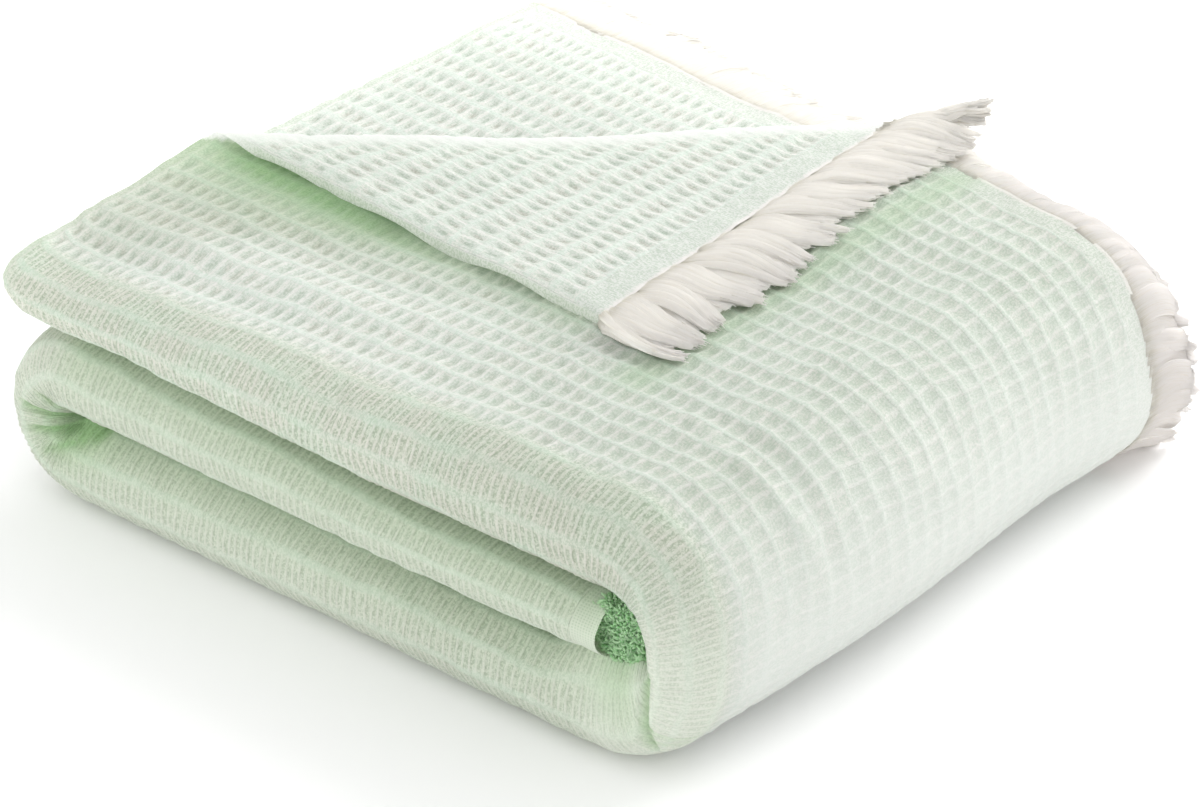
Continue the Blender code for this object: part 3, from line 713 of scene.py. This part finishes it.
def flap_lock(middle, width, angle, length, thick, lift, rise, pull=0.0, inset=0.0020):
    """One lock lying down from the folded corner's end: its centre line, side, width and thickness."""
    t = LOCK_T
    at = np.clip(middle + np.array((-0.5, 0.5, 0.0)) * width, END_MARGIN, FLAP_END + 0.003)
    points = place(at, top_end(at) + inset)
    root, reach = points[2], (points[1] - points[0]) / 2
    run = np.stack([np.cos(angle), np.sin(angle)], axis=-1) * length / (LOCK_RINGS - 1)
    centre = np.zeros((LOCK_RINGS, 3))
    centre[1:, :2] = np.cumsum((run[:-1] + run[1:]) / 2, axis=0)
    centre[:, :2] += root[:2] + unit(reach)[:2] * pull * ease(t, 0.1, 0.8)[:, None]
    ground = layer_point(centre[:, 0], -centre[:, 1])[:, 2] + REST_HEIGHT + thick
    centre[:, 2] = ground + (root[2] - ground[0]) * fade(t, 0.06, 0.66) + lift + rise * t**1.5
    sideways = np.stack([-np.sin(angle), np.cos(angle), np.zeros(LOCK_RINGS)], axis=-1)
    flip = 1.0 if sideways[0] @ reach > 0 else -1.0
    blend = fade(t, 0.0, 0.35)[:, None]
    side = unit(unit(reach) * blend + sideways * flip * (1.0 - blend))
    wide = np.linalg.norm(reach) * (1.25 - 0.20 * ease(t, 0.3, 0.5) - 0.40 * ease(t, 0.88, 0.12))
    return centre, side, wide, thick


def flap_locks(rng):
    """The locks of the folded corner's end: five thin ones to a row of the table, on a flat layer of even ones."""
    t = LOCK_T
    thick = 0.0005 + 0.0012 * ease(t, 0.0, 0.45) - 0.0009 * ease(t, 0.75, 0.25)
    table = np.array(FLAP_LOCKS)

    def read(at, column):
        return float(np.interp(at, table[:, 0], table[:, column]))

    def on_end(at):
        return np.clip(at * FLAP_END, 0.002, FLAP_END + 0.001)

    locks = []
    for at, half, root_angle, tip_angle, wave, length, puff, _ in FLAP_LOCKS:
        for part in FLAP_PARTS:
            width = half * FLAP_END * 0.62
            turn = rng.uniform(-4.0, 4.0) - 4.0 * part
            angle = np.radians(root_angle + (tip_angle - root_angle) * t + wave * np.sin(2 * math.pi * t) + turn * t)
            lift = 0.0014 * (1.0 - part**2) * np.sin(math.pi * np.minimum(t * 1.3, 1.0)) + 0.0008
            lift += (0.25 * puff + rng.uniform(-0.0004, 0.0006)) * np.sin(math.pi * t) ** 2
            lift -= 0.0012 * fade(t, 0.0, 0.16)
            rise = read(at + half * part, RISE)
            pull = -0.25 * part * half * FLAP_END
            own = length * rng.uniform(0.95, 1.04)
            inset = rng.uniform(0.0010, 0.0042)
            middle = on_end(at + half * part)
            locks.append(flap_lock(middle, width, angle, own + inset, thick, lift, rise, pull, inset))
            # the even lock below it
            at_even = at + half * (part + 0.20)
            root_painted_shade, at_tip = read(at_even, ROOT_ANGLE), read(at_even, TIP_ANGLE)
            angle = np.radians(root_painted_shade + (at_tip - root_painted_shade) * t)
            own = length * rng.uniform(0.80, 0.93)
            low = 0.0008 * ease(t, 0.1, 0.3)
            locks.append(flap_lock(on_end(at_even), 1.6 * width, angle, own, 0.9 * thick, low, 0.8 * rise))
    return locks


def edge_locks(rng, end, side, start, stop, droop):
    """The locks of a cloth end that isn't folded over; they bend down and in towards the pile."""
    t = LOCK_T
    locks = []
    at = start
    while at < stop - 0.001:
        width = min(rng.uniform(*LOCK_WIDTHS), stop - at)
        u = np.clip(np.array((at, at + width / 2, at + width)), END_MARGIN, LINE["length"] - END_MARGIN)
        points = place(u, end(u) - side * ROOT_DEPTH)
        root, reach = points[1], (points[2] - points[0]) / 2
        middle = u[1:2]
        out = unit(place(middle, end(middle) + side * 0.001) - place(middle, end(middle) - side * 0.001))[0]
        facing = normal(middle, end(middle) - side * 0.002)[0]
        tilt = LOCK_TILT * ease(facing[2], -0.9, 0.6) * t
        length = LOCK_LENGTH * rng.uniform(0.93, 1.07) * fade(at, 0.29, 0.05, 0.09)
        bend, phase = rng.uniform(-LOCK_BEND, LOCK_BEND), rng.uniform(0.0, 6.28)
        curl = rng.uniform(-LOCK_CURL, LOCK_CURL)
        centre = root + out * (length * t * np.cos(1.2 * tilt))[:, None]
        centre -= facing * (length * t * np.sin(1.2 * tilt))[:, None]
        along = unit(reach)
        centre += along[None] * (bend * t**2 + 0.0010 * (np.sin(5.0 * t + phase) - math.sin(phase)))[:, None]
        centre += facing[None] * (0.0014 * (np.sin(6.0 * t + 2 * phase) - math.sin(2 * phase)) * t)[:, None]
        centre[:, 2] -= droop * t**2
        thick = 0.0008 + 0.0007 * ease(t, 0.05, 0.45) - 0.0008 * ease(t, 0.55, 0.45)
        centre[:, 2] = np.maximum(centre[:, 2], thick * 1.25 + 0.0002)
        lean = unit(along[None] + facing[None] * (curl * t)[:, None])
        wide = np.linalg.norm(reach) * (1.45 - 0.10 * ease(t, 0.3, 0.5) - 0.75 * ease(t, 0.75, 0.25))
        locks.append((centre, lean, wide, thick))
        at += width
    return locks


class Tubes:
    """Flat tubes round their centre lines, closed at both ends, gathered for one mesh."""

    def __init__(self):
        self.verts, self.faces, self.strands, self.total = [], [], [], 0

    def add(self, centre, side, up, wide, thick, sides, rng, ragged=0.0):
        """Tubes that are wide to their side and thick upward, with furrows where they are ragged."""
        count, rings = centre.shape[:2]
        turn = 2 * math.pi * np.arange(sides) / sides
        furrow = 1.0 + ragged * rng.uniform(-1.0, 1.0, (count, 1, sides))
        out = np.cos(turn) * furrow * wide[..., None]
        high = np.sin(turn) * furrow * thick[..., None]
        verts = centre[:, :, None] + side[:, :, None] * out[..., None] + up[:, :, None] * high[..., None]
        base = self.total + (np.arange(count) * rings * sides)[:, None, None]
        ring = base + (np.arange(rings - 1) * sides)[None, :, None]
        corner = np.arange(sides)[None, None]
        following = (corner + 1) % sides
        quads = [ring + corner, ring + following, ring + sides + following, ring + sides + corner]
        first = base[:, 0] + np.arange(sides)[::-1]
        last = base[:, 0] + (rings - 1) * sides + np.arange(sides)
        self.faces += np.stack(quads, axis=-1).reshape(-1, 4).tolist() + first.tolist() + last.tolist()
        self.verts.append(verts.reshape(-1, 3))
        # the strand mark: across the tube in millimetres with a shift of its own, along it, and round the roll
        t = np.broadcast_to(np.linspace(0.0, 1.0, rings)[None, :, None], verts.shape[:3])
        own = np.broadcast_to(rng.uniform(0.0, 1.0, (count, 1, 1)), verts.shape[:3])
        # the third value places the painted shade round the roll
        strand = np.stack([out * 1000.0 + own * 90.0, t, ease(verts[..., 0], 0.300, 0.060)], axis=-1)
        self.strands.append(strand.reshape(-1, 3))
        self.total += count * rings * sides

    def add_yarns(self, path, way, radius, rng):
        """Thin round yarns along their paths, with their directions."""
        side = unit(np.cross(way, np.array((0.13, 0.21, 1.0))))
        self.add(path, side, np.cross(side, way), radius, radius, 3, rng)

    def build(self, name, material):
        verts = np.concatenate(self.verts)
        verts[:, 2] = np.maximum(verts[:, 2], FLOOR_LEVEL)
        return mesh_object(name, verts, self.faces, {"strand": np.concatenate(self.strands).T}, material)


def fringe_object(name, locks, material, seed):
    """The locks as soft flat tubes, with loose yarn ends at their tips, in one mesh."""
    rng = np.random.default_rng(seed)
    centre, side, wide, thick = (np.stack(values) for values in zip(*locks))
    tangent = unit(np.gradient(centre, axis=1))
    up = unit(np.cross(tangent, side))
    side = unit(np.cross(up, tangent))
    tubes = Tubes()
    tubes.add(centre, side, up, wide, thick, LOCK_SIDES, rng, LOCK_FURROWS)
    # loose yarns: each starts inside its lock and runs a little past its tip
    count = len(locks) * YARNS_A_LOCK
    lock = np.repeat(np.arange(len(locks)), YARNS_A_LOCK)
    sideways, level = rng.uniform(-0.95, 0.95, count), rng.uniform(-0.8, 0.8, count)
    t = np.linspace(0.0, 1.0, YARN_RINGS)
    rings = LOCK_RINGS - 4 + t * 3.0
    low = np.minimum(rings.astype(int), LOCK_RINGS - 2)
    part = (rings - low)[None, :, None]
    late = (t**2)[None, :, None]

    def at_rings(values):
        share = part if values.ndim == 3 else part[..., 0]
        return values[lock][:, low] * (1 - share) + values[lock][:, low + 1] * share

    past = rng.uniform(*YARN_PAST, count)[:, None, None] * late
    path = at_rings(centre) + side[lock][:, low] * (sideways[:, None] * at_rings(wide))[..., None]
    path = path + up[lock][:, low] * (level[:, None] * at_rings(thick))[..., None] + tangent[lock][:, low] * past
    path = path + rng.uniform(-YARN_STRAY, YARN_STRAY, (count, 1, 3)) * late
    path[..., 2] = np.maximum(path[..., 2], YARN_RADIUS + 0.0001)
    radius = np.full((count, YARN_RINGS), YARN_RADIUS) * (1.0 - 0.4 * t**2)[None]
    tubes.add_yarns(path, unit(np.gradient(path, axis=1)), radius, rng)
    return tubes.build(name, material)


# the frayed end in the hollow of the roll
HOLLOW_X = (0.3800, 0.4140)
HOLLOW_Y = (0.0085, 0.0145)
HOLLOW_Z = (0.0560, 0.0840)
CURLS = 2300
CURL_RINGS = 8
CURL_RADIUS = 0.00062
MASS_RINGS = 17
MASS_SIDES = 24


def girth(high):
    """How wide the frayed end is at a height from 0 to 1."""
    return np.maximum(1.0 - np.abs(2.0 * high - 1.0) ** 3, 0.001) ** 0.4


def build_frayed_end(material):
    """The loose mint yarns of the strip's own cut end: a round mass inside the roll, covered in small curls."""
    rng = np.random.default_rng(31)
    middle_x, half_x = sum(HOLLOW_X) / 2, (HOLLOW_X[1] - HOLLOW_X[0]) / 2
    depth, tall = HOLLOW_Y[1] - HOLLOW_Y[0], HOLLOW_Z[1] - HOLLOW_Z[0]
    high, turn = rng.uniform(0.02, 0.98, CURLS), rng.uniform(-0.45 * math.pi, 0.45 * math.pi, CURLS)
    root = np.stack(
        [
            middle_x + half_x * girth(high) * np.sin(turn),
            HOLLOW_Y[1] - depth * girth(high) * np.cos(turn),
            HOLLOW_Z[0] + tall * high,
        ],
        axis=-1,
    )
    way = unit(rng.normal(0.0, 0.7, (CURLS, 3)) + np.array((0.5, -0.15, -0.4)))
    aside = unit(np.cross(way, rng.normal(0.0, 1.0, (CURLS, 3))))
    size = rng.uniform(0.0009, 0.0021, CURLS)[:, None, None]
    turns = (rng.uniform(1.6, 4.2, CURLS)[:, None] * np.linspace(0.0, 1.0, CURL_RINGS))[..., None]
    path = root[:, None] + size * (way[:, None] * np.sin(turns) + aside[:, None] * (1.0 - np.cos(turns)))
    tubes = Tubes()
    way = unit(np.gradient(path, axis=1) + 1e-7)
    tubes.add_yarns(path, way, np.full((CURLS, CURL_RINGS), CURL_RADIUS), rng)
    # the round mass behind them
    t = (1.0 - np.cos(np.linspace(0.0, math.pi, MASS_RINGS))) / 2
    mass = np.stack([np.full_like(t, middle_x), np.full_like(t, HOLLOW_Y[1]), HOLLOW_Z[0] + tall * t], axis=-1)
    sideways, inward = np.broadcast_to(np.eye(3)[:2, None, None], (2, 1, MASS_RINGS, 3))
    wide = girth(t)[None]
    tubes.add(mass[None], sideways, inward, half_x * wide, depth * wide, MASS_SIDES, rng, MASS_FURROWS)
    return tubes.build("frayed_end", material)


def build_fringes(material):
    rng = np.random.default_rng(21)
    top = flap_locks(rng)
    top += edge_locks(rng, top_end, -1.0, FLAP_END + 0.001, LINE["length"], TOP_DROOP)
    second = edge_locks(rng, second_end, 1.0, 0.0, LINE["length"], SECOND_DROOP)
    return fringe_object("top_fringe", top, material, 5), fringe_object("second_fringe", second, material, 6)


# ---------------- materials
# The weave's colours; a pair goes from the darker to the paler grain, unless its comment says more.
# the pits' colours: the cell floor's mint, darkened with painted shade
PIT = ((0.45, 0.54, 0.44), (0.52, 0.52, 0.44))  # two hues
CELL = ((0.84, 0.88, 0.82), (0.87, 0.88, 0.82))  # two hues
OPEN_PIT, CELL_DARK = (0.60, 0.70, 0.58), (0.66, 0.74, 0.65)
LADDER = ((0.50, 0.57, 0.46), (0.88, 0.91, 0.84))
RIDGE = ((0.72, 0.83, 0.73), (0.86, 0.92, 0.86))
RUNG = ((0.84, 0.86, 0.79), (0.96, 0.96, 0.92))
PLAIN_DOTS = ((0.63, 0.71, 0.59), (0.78, 0.83, 0.745))
PLAIN_LINE = (0.97, 0.97, 0.95)
CUT_END = ((0.62, 0.70, 0.60), (0.84, 0.87, 0.82))
FRAYED = (0.90, 0.89, 0.85)
TUCKED = ((0.86, 0.89, 0.83), (0.58, 0.67, 0.55))  # threads and the gaps between them
TUCKED_GRAIN = (0.80, 0.84, 0.77)
# painted highlight: the paler colour where the weave is drawn smooth
DRAWN_SMOOTH_HIGHLIGHT = ((0.96, 0.97, 0.95), (0.92, 0.95, 0.91))  # on the crest and on the open roll
# painted light, low on the front fold
LOW_PAINTED_LIGHT = (0.97, 0.99, 0.93)
# What the weave's colour is multiplied by: the top's and the fold's tone, and painted shade and light.
# painted shade, darker and greener, in folds, creases and shadows
DEEP_SHADE_TINT = (0.51, 0.76, 0.44)
TOP_TINT = (1.0, 0.985, 1.0)
# painted shade: the front fold darker than the top, in two patches of tone
FOLD_SHADE_TINT = ((0.89, 0.88, 0.845), (0.865, 0.90, 0.845))  # two patches
# painted light: less darkening low on the front fold
LOW_PAINTED_LIGHT_TINT = (0.98, 0.99, 0.95)
SHADE_TINT = (0.83, 0.84, 0.79)
# painted shade over the open weave round the roll
OPEN_SHADE_TINT = (0.875, 0.880, 0.860)
# Yarn: shade, bright, a painted shade at the root, and the painted shade it is multiplied by round the roll.
UNDYED = ((0.94, 0.915, 0.86), (0.99, 0.98, 0.96), (0.86, 0.84, 0.76), (0.955, 0.95, 0.96))
MINT = ((0.50, 0.82, 0.47), (0.76, 0.94, 0.71), (0.54, 0.84, 0.51), (1.0, 1.0, 1.0))


class Nodes:
    """Short calls for a material's node tree."""

    def __init__(self, name):
        self.material = bpy.data.materials.new(name)
        self.material.use_nodes = True
        self.tree = self.material.node_tree
        self.tree.nodes.clear()

    def add(self, kind, inputs=None, **settings):
        node = self.tree.nodes.new("ShaderNode" + kind)
        for key, value in settings.items():
            setattr(node, key, value)
        for key, value in (inputs or {}).items():
            self.put(node.inputs[key], value)
        return node

    def put(self, socket, value):
        if isinstance(value, bpy.types.NodeSocket):
            self.tree.links.new(value, socket)
        elif socket.type == "RGBA":
            socket.default_value = (*value, 1.0)
        else:
            socket.default_value = value

    def math(self, operation, first, *others):
        for value in others:
            first = self.add("Math", {0: first, 1: value}, operation=operation).outputs[0]
        return first

    def plus(self, *values):
        return self.math("ADD", *values)

    def less(self, one, two):
        return self.math("SUBTRACT", one, two)

    def times(self, *values):
        return self.math("MULTIPLY", *values)

    def soft(self, value, start, end, low=0.0, high=1.0):
        """Ease from low to high while value goes from start to end."""
        inputs = dict(enumerate((value, start, end, low, high)))
        return self.add("MapRange", inputs, interpolation_type="SMOOTHSTEP").outputs[0]

    def mix(self, share, one, two, blend="MIX"):
        node = self.add("Mix", data_type="RGBA", blend_type=blend)
        for socket, value in ((0, share), (6, one), (7, two)):
            self.put(node.inputs[socket], value)
        return node.outputs[2]

    def noise(self, vector, scale, detail=2.0, rough=0.5):
        inputs = {"Vector": vector, "Scale": scale, "Detail": detail, "Roughness": rough}
        return self.add("TexNoise", inputs, noise_dimensions="3D").outputs[0]

    def mark(self, name):
        """A vector that the mesh's points carry."""
        return self.add("Attribute", attribute_name=name).outputs["Vector"]

    def split(self, vector):
        return self.add("SeparateXYZ", {0: vector}).outputs

    def scaled(self, vector, factors):
        return self.add("VectorMath", {0: vector, 1: factors}, operation="MULTIPLY").outputs[0]

    def cotton(self, colour, height, bumps, rough, sheen, gloss, through):
        """Finish the tree: rough cotton with a sheen, that lets part of the light through."""
        bumped = self.add("Bump", {"Height": height, "Strength": bumps[0], "Distance": bumps[1]}).outputs[0]
        surface = {"Base Color": colour, "Roughness": rough, "Normal": bumped, "Specular IOR Level": gloss}
        surface.update({"Sheen Weight": sheen[0], "Sheen Roughness": sheen[1]})
        face = self.add("BsdfPrincipled", surface).outputs[0]
        back = self.add("BsdfTranslucent", {"Color": colour, "Normal": bumped}).outputs[0]
        both = self.add("MixShader", {0: through, 1: face, 2: back}).outputs[0]
        self.add("OutputMaterial", {0: both})
        return self.material


def waffle_cotton():
    """Mint cells, paler ridges and warm white rungs, with the threads in bump and colour."""
    n = Nodes("waffle_cotton")
    weave = n.mark("weave")
    a, b, plain = n.split(weave)
    # the deep shade is painted shade; fold and openness belong to the weave
    deep_shade, fold, openness = n.split(n.mark("deep_shade_fold_open"))
    # the weave drawn smooth with a painted highlight, the folded corner's painted shadow, painted light low on the
    # fold
    smooth, shade, low_painted_light = n.split(n.mark("smooth_and_painted_light"))
    where = n.add("TexCoord").outputs["Object"]

    def by_fold(elsewhere, on_fold):
        return n.soft(fold, 0.2, 0.8, elsewhere, on_fold)

    def opened(closed, change):
        return n.less(closed, n.times(openness, change))

    ragged = n.times(n.less(n.noise(where, 420.0), 0.5), 0.22)
    to_rung = n.plus(n.math("PINGPONG", a, 0.5), ragged)
    to_ridge = n.plus(n.math("PINGPONG", b, 0.5), n.times(ragged, 0.6))
    in_cells = n.soft(plain, -0.02, 0.03, 1.0, 0.0)
    rough_part = n.times(in_cells, n.less(1.0, n.times(smooth, 0.85)), n.soft(deep_shade, 0.20, 0.75, 1.0, 0.45))
    drift = n.soft(n.noise(where, 22.0), 0.35, 0.65)
    # rungs and ridges; on the front fold the rungs stand at half their distance
    rung = n.plus(n.soft(to_rung, 0.26, 0.10, 0.0, 0.30), n.soft(to_rung, 0.135, 0.055, 0.0, 0.70))
    kept = n.less(1.0, n.times(smooth, n.soft(openness, 0.2, 0.9, 0.85, 0.35)))
    rung = n.times(rung, n.times(in_cells, kept, n.soft(deep_shade, 0.25, 0.85, 1.0, 0.60)))
    ridge = n.times(n.soft(to_ridge, by_fold(0.15, 0.20), 0.06), rough_part)
    to_half = n.plus(n.math("PINGPONG", a, 0.25), n.times(ragged, 0.45))
    between_ridges = n.times(in_cells, n.soft(to_ridge, 0.05, 0.13, 0.25, 1.0))
    half_rung = n.times(n.soft(to_half, 0.125, 0.055), n.times(fold, between_ridges))
    # the pit of a cell: a soft lens of the mint floor with painted shade, wider where the weave is spread open
    long_side = n.soft(to_rung, opened(0.22, 0.14), opened(0.46, 0.22))
    lens = n.times(long_side, n.soft(to_ridge, opened(0.16, 0.10), opened(0.42, 0.20)))
    pit_part = n.times(rough_part, n.soft(deep_shade, 0.12, 0.60, 1.0, 0.25))
    lens = n.times(lens, n.times(pit_part, by_fold(1.0, 0.4)))
    patchy = n.times(openness, n.plus(0.30, n.times(drift, 0.35)))
    lens = n.times(lens, n.less(1.0, patchy), n.soft(openness, 0.1, 0.9, 0.82, 1.0))
    # threads: speckle, and short streaks along and across the strip, in millimetres
    sized = n.scaled(weave, (1000.0 * CELL_S, 1000.0 * CELL_T, 0.0))
    up_streak = n.noise(n.scaled(sized, (1.25, 0.25, 0.0)), 1.0, 2.0, 0.6)
    cross_streak = n.noise(n.scaled(sized, (0.30, 1.25, 0.0)), 1.0, 2.0, 0.6)
    streaks = n.plus(n.times(up_streak, by_fold(0.36, 0.30)), n.times(cross_streak, by_fold(0.14, 0.05)))
    threads = n.plus(n.times(n.noise(where, 850.0, 3.0, 0.8), by_fold(0.50, 0.65)), streaks)
    grain = n.soft(threads, 0.43, 0.57)
    hue = n.soft(n.noise(where, 60.0, 2.0, 0.6), 0.40, 0.62)
    floor = n.mix(grain, CELL_DARK, n.mix(hue, *CELL))
    floor = n.mix(n.times(fold, 0.90), floor, n.mix(grain, *LADDER))
    # the pit's mint floor, darkened with painted shade
    pit_share = n.times(lens, n.less(1.0, n.times(grain, 0.60)))
    colour = n.mix(pit_share, floor, n.mix(openness, n.mix(hue, *PIT), OPEN_PIT))
    # plain weave: a bright line where it starts, then dots; a fine grid on the strip tucked in the roll
    dots = n.soft(n.noise(where, 900.0, 1.0), 0.40, 0.58)
    selvedge = n.mix(n.soft(plain, 0.0, 0.14), PLAIN_LINE, n.mix(dots, *PLAIN_DOTS))
    frayed = n.soft(n.plus(plain, n.times(ragged, 1.2)), 0.78, 1.00)
    cut_end = n.mix(frayed, n.mix(grain, *CUT_END), FRAYED)
    selvedge = n.mix(n.soft(a, -0.10, 0.0), selvedge, cut_end)
    mm_a, mm_b, _ = n.split(sized)
    crossing = n.times(*(n.soft(n.math("PINGPONG", at, 0.8), 0.15, 0.6) for at in (mm_a, mm_b)))
    tucked = n.mix(n.times(grain, 0.45), n.mix(crossing, *TUCKED), TUCKED_GRAIN)
    selvedge = n.mix(n.soft(a, LAST_SHOWN_CELL, LAST_SHOWN_CELL + 1.0), selvedge, tucked)
    colour = n.mix(n.soft(plain, 0.0, 0.06), colour, selvedge)
    # the parts that stand up, over the cells
    rung_colour = n.mix(grain, *RUNG)
    rung_share = n.times(rung, n.less(0.85, n.times(openness, 0.25)), by_fold(1.0, 0.0))
    colour = n.mix(n.times(half_rung, 0.80), colour, rung_colour)
    colour = n.mix(rung_share, colour, rung_colour)
    colour = n.mix(n.times(ridge, n.plus(0.45, n.times(drift, 0.35))), colour, n.mix(grain, *RIDGE))
    # painted highlight where the weave is drawn smooth
    colour = n.mix(n.times(smooth, 0.70), colour, n.mix(openness, *DRAWN_SMOOTH_HIGHLIGHT))
    # painted light, paler low on the front fold
    colour = n.mix(n.times(low_painted_light, 0.24), colour, LOW_PAINTED_LIGHT)
    # the top's tone; on the front fold, painted shade in patches of tone, with painted light low on it
    patches = n.soft(n.noise(where, 38.0), 0.40, 0.62)
    tone_and_painted_light = n.mix(fold, TOP_TINT, n.mix(low_painted_light, n.mix(patches, *FOLD_SHADE_TINT), LOW_PAINTED_LIGHT_TINT))
    # painted shade on the roll's open weave, less where it is drawn smooth
    open_shade_part = n.times(openness, n.less(1.0, smooth))
    # multiplied over the weave: painted deep shade, the top's tone with the fold's painted shade and light, the
    # folded corner's painted shadow, painted shade on the open roll
    for share, over in ((deep_shade, DEEP_SHADE_TINT), (1.0, tone_and_painted_light), (shade, SHADE_TINT), (open_shade_part, OPEN_SHADE_TINT)):
        colour = n.mix(share, colour, over, "MULTIPLY")
    raised = n.plus(n.times(rung, 0.6), n.times(ridge, 0.4))
    height = n.plus(n.times(threads, 1.3), n.plus(raised, n.times(half_rung, 0.4)))
    return n.cotton(colour, height, (0.7, 0.0007), 0.92, (0.25, 0.5), 0.25, 0.32)


def yarn_cotton(name, shade, bright, root, round_roll_shade):
    """Soft yarn, with its strands in bump and tone, and painted shade at its root and round the roll."""
    n = Nodes(name)
    strand = n.mark("strand")
    _, along, round_roll = n.split(strand)
    stretched = n.scaled(strand, (1.0, 0.8, 1.0))
    fine = n.noise(stretched, 2.6, 3.0, 0.7)
    root_painted_shade = n.times(n.soft(along, 0.22, 0.02), n.soft(fine, 0.60, 0.40, 0.15, 0.9))
    colour = n.mix(root_painted_shade, n.mix(n.soft(fine, 0.34, 0.50), shade, bright), root)
    colour = n.mix(round_roll, colour, round_roll_shade, "MULTIPLY")
    height = n.plus(fine, n.times(n.noise(stretched, 0.7, 1.0), 1.5))
    return n.cotton(colour, height, (0.4, 0.0006), 0.75, (0.3, 0.4), 0.3, 0.72)


# ---------------- the room, light and camera
FLOOR_REACH = 6.0
WORLD_LIGHT = 1.02
LIGHTS = (
    # name, place, aim, size, power
    ("back_light", (0.35, 1.6, 1.5), (0.0, 0.1, 0.05), (1.6, 1.6), 30.0),
    ("rim_light", (-0.2, 1.5, 0.55), (0.0, 0.2, 0.1), (1.4, 0.6), 9.0),
    ("right_light", (1.9, -0.2, 0.35), (0.2, 0.0, 0.0), (1.8, 0.5), 2.3),
    ("front_light", (-0.7, -1.8, 0.25), (0.0, -0.1, 0.03), (1.6, 0.4), 11.0),
)
CAMERA_AZIMUTH, CAMERA_ELEVATION = math.radians(40.17), math.radians(30.10)
CAMERA_DISTANCE = 2.181
CAMERA_AIM = (0.236, 0.186, 0.05)
CAMERA_LENS, CAMERA_SENSOR = 132.18, 36.0


def build_room():
    n = Nodes("studio_floor")
    paint = n.add("BsdfPrincipled", {"Base Color": (0.97, 0.97, 0.97), "Roughness": 0.8})
    n.add("OutputMaterial", {0: paint.outputs[0]})
    mesh = bpy.data.meshes.new("studio_floor")
    corners = [(x * FLOOR_REACH, y * FLOOR_REACH, 0.0) for x, y in ((-1, -1), (1, -1), (1, 1), (-1, 1))]
    mesh.from_pydata(corners, [], [(0, 1, 2, 3)])
    mesh.materials.append(n.material)
    add_object("studio_floor", mesh)
    world = bpy.data.worlds.new("studio")
    bpy.context.scene.world = world
    world.use_nodes = True
    background = world.node_tree.nodes["Background"]
    background.inputs[0].default_value = (1.0, 1.0, 1.0, 1.0)
    background.inputs[1].default_value = WORLD_LIGHT


def area_light(name, place_at, aim, size, power):
    light = bpy.data.lights.new(name, "AREA")
    light.shape = "RECTANGLE"
    light.size, light.size_y = size
    light.energy = power
    lamp = add_object(name, light)
    lamp.location = place_at
    lamp.rotation_euler = (Vector(aim) - Vector(place_at)).to_track_quat("-Z", "Y").to_euler()


def build_camera():
    level = math.cos(CAMERA_ELEVATION)
    back = (math.sin(CAMERA_AZIMUTH) * level, -math.cos(CAMERA_AZIMUTH) * level, math.sin(CAMERA_ELEVATION))
    back, right = Vector(back), Vector((math.cos(CAMERA_AZIMUTH), math.sin(CAMERA_AZIMUTH), 0.0))
    matrix = Matrix((right, back.cross(right), back)).transposed().to_4x4()
    matrix.translation = Vector(CAMERA_AIM) + Vector(SHIFT) + back * CAMERA_DISTANCE
    data = bpy.data.cameras.new("camera")
    data.sensor_width = CAMERA_SENSOR
    data.lens = CAMERA_LENS
    camera = add_object("camera", data)
    camera.matrix_world = matrix
    bpy.context.scene.camera = camera


build_camera()
build_room()
for row in LIGHTS:
    area_light(*row)
bpy.context.scene.view_settings.view_transform = "Standard"

cloth = build_cloth(waffle_cotton())
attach(cloth, "root")
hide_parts("blanket")
frayed = build_frayed_end(yarn_cotton("mint_cotton_yarn", *MINT))
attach(frayed, "root")
fringes = build_fringes(yarn_cotton("undyed_cotton_yarn", *UNDYED))
for fringe, node in zip(fringes, ("fringe_top_end", "fringe_second_end")):
    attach(fringe, "root")
    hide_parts(node)
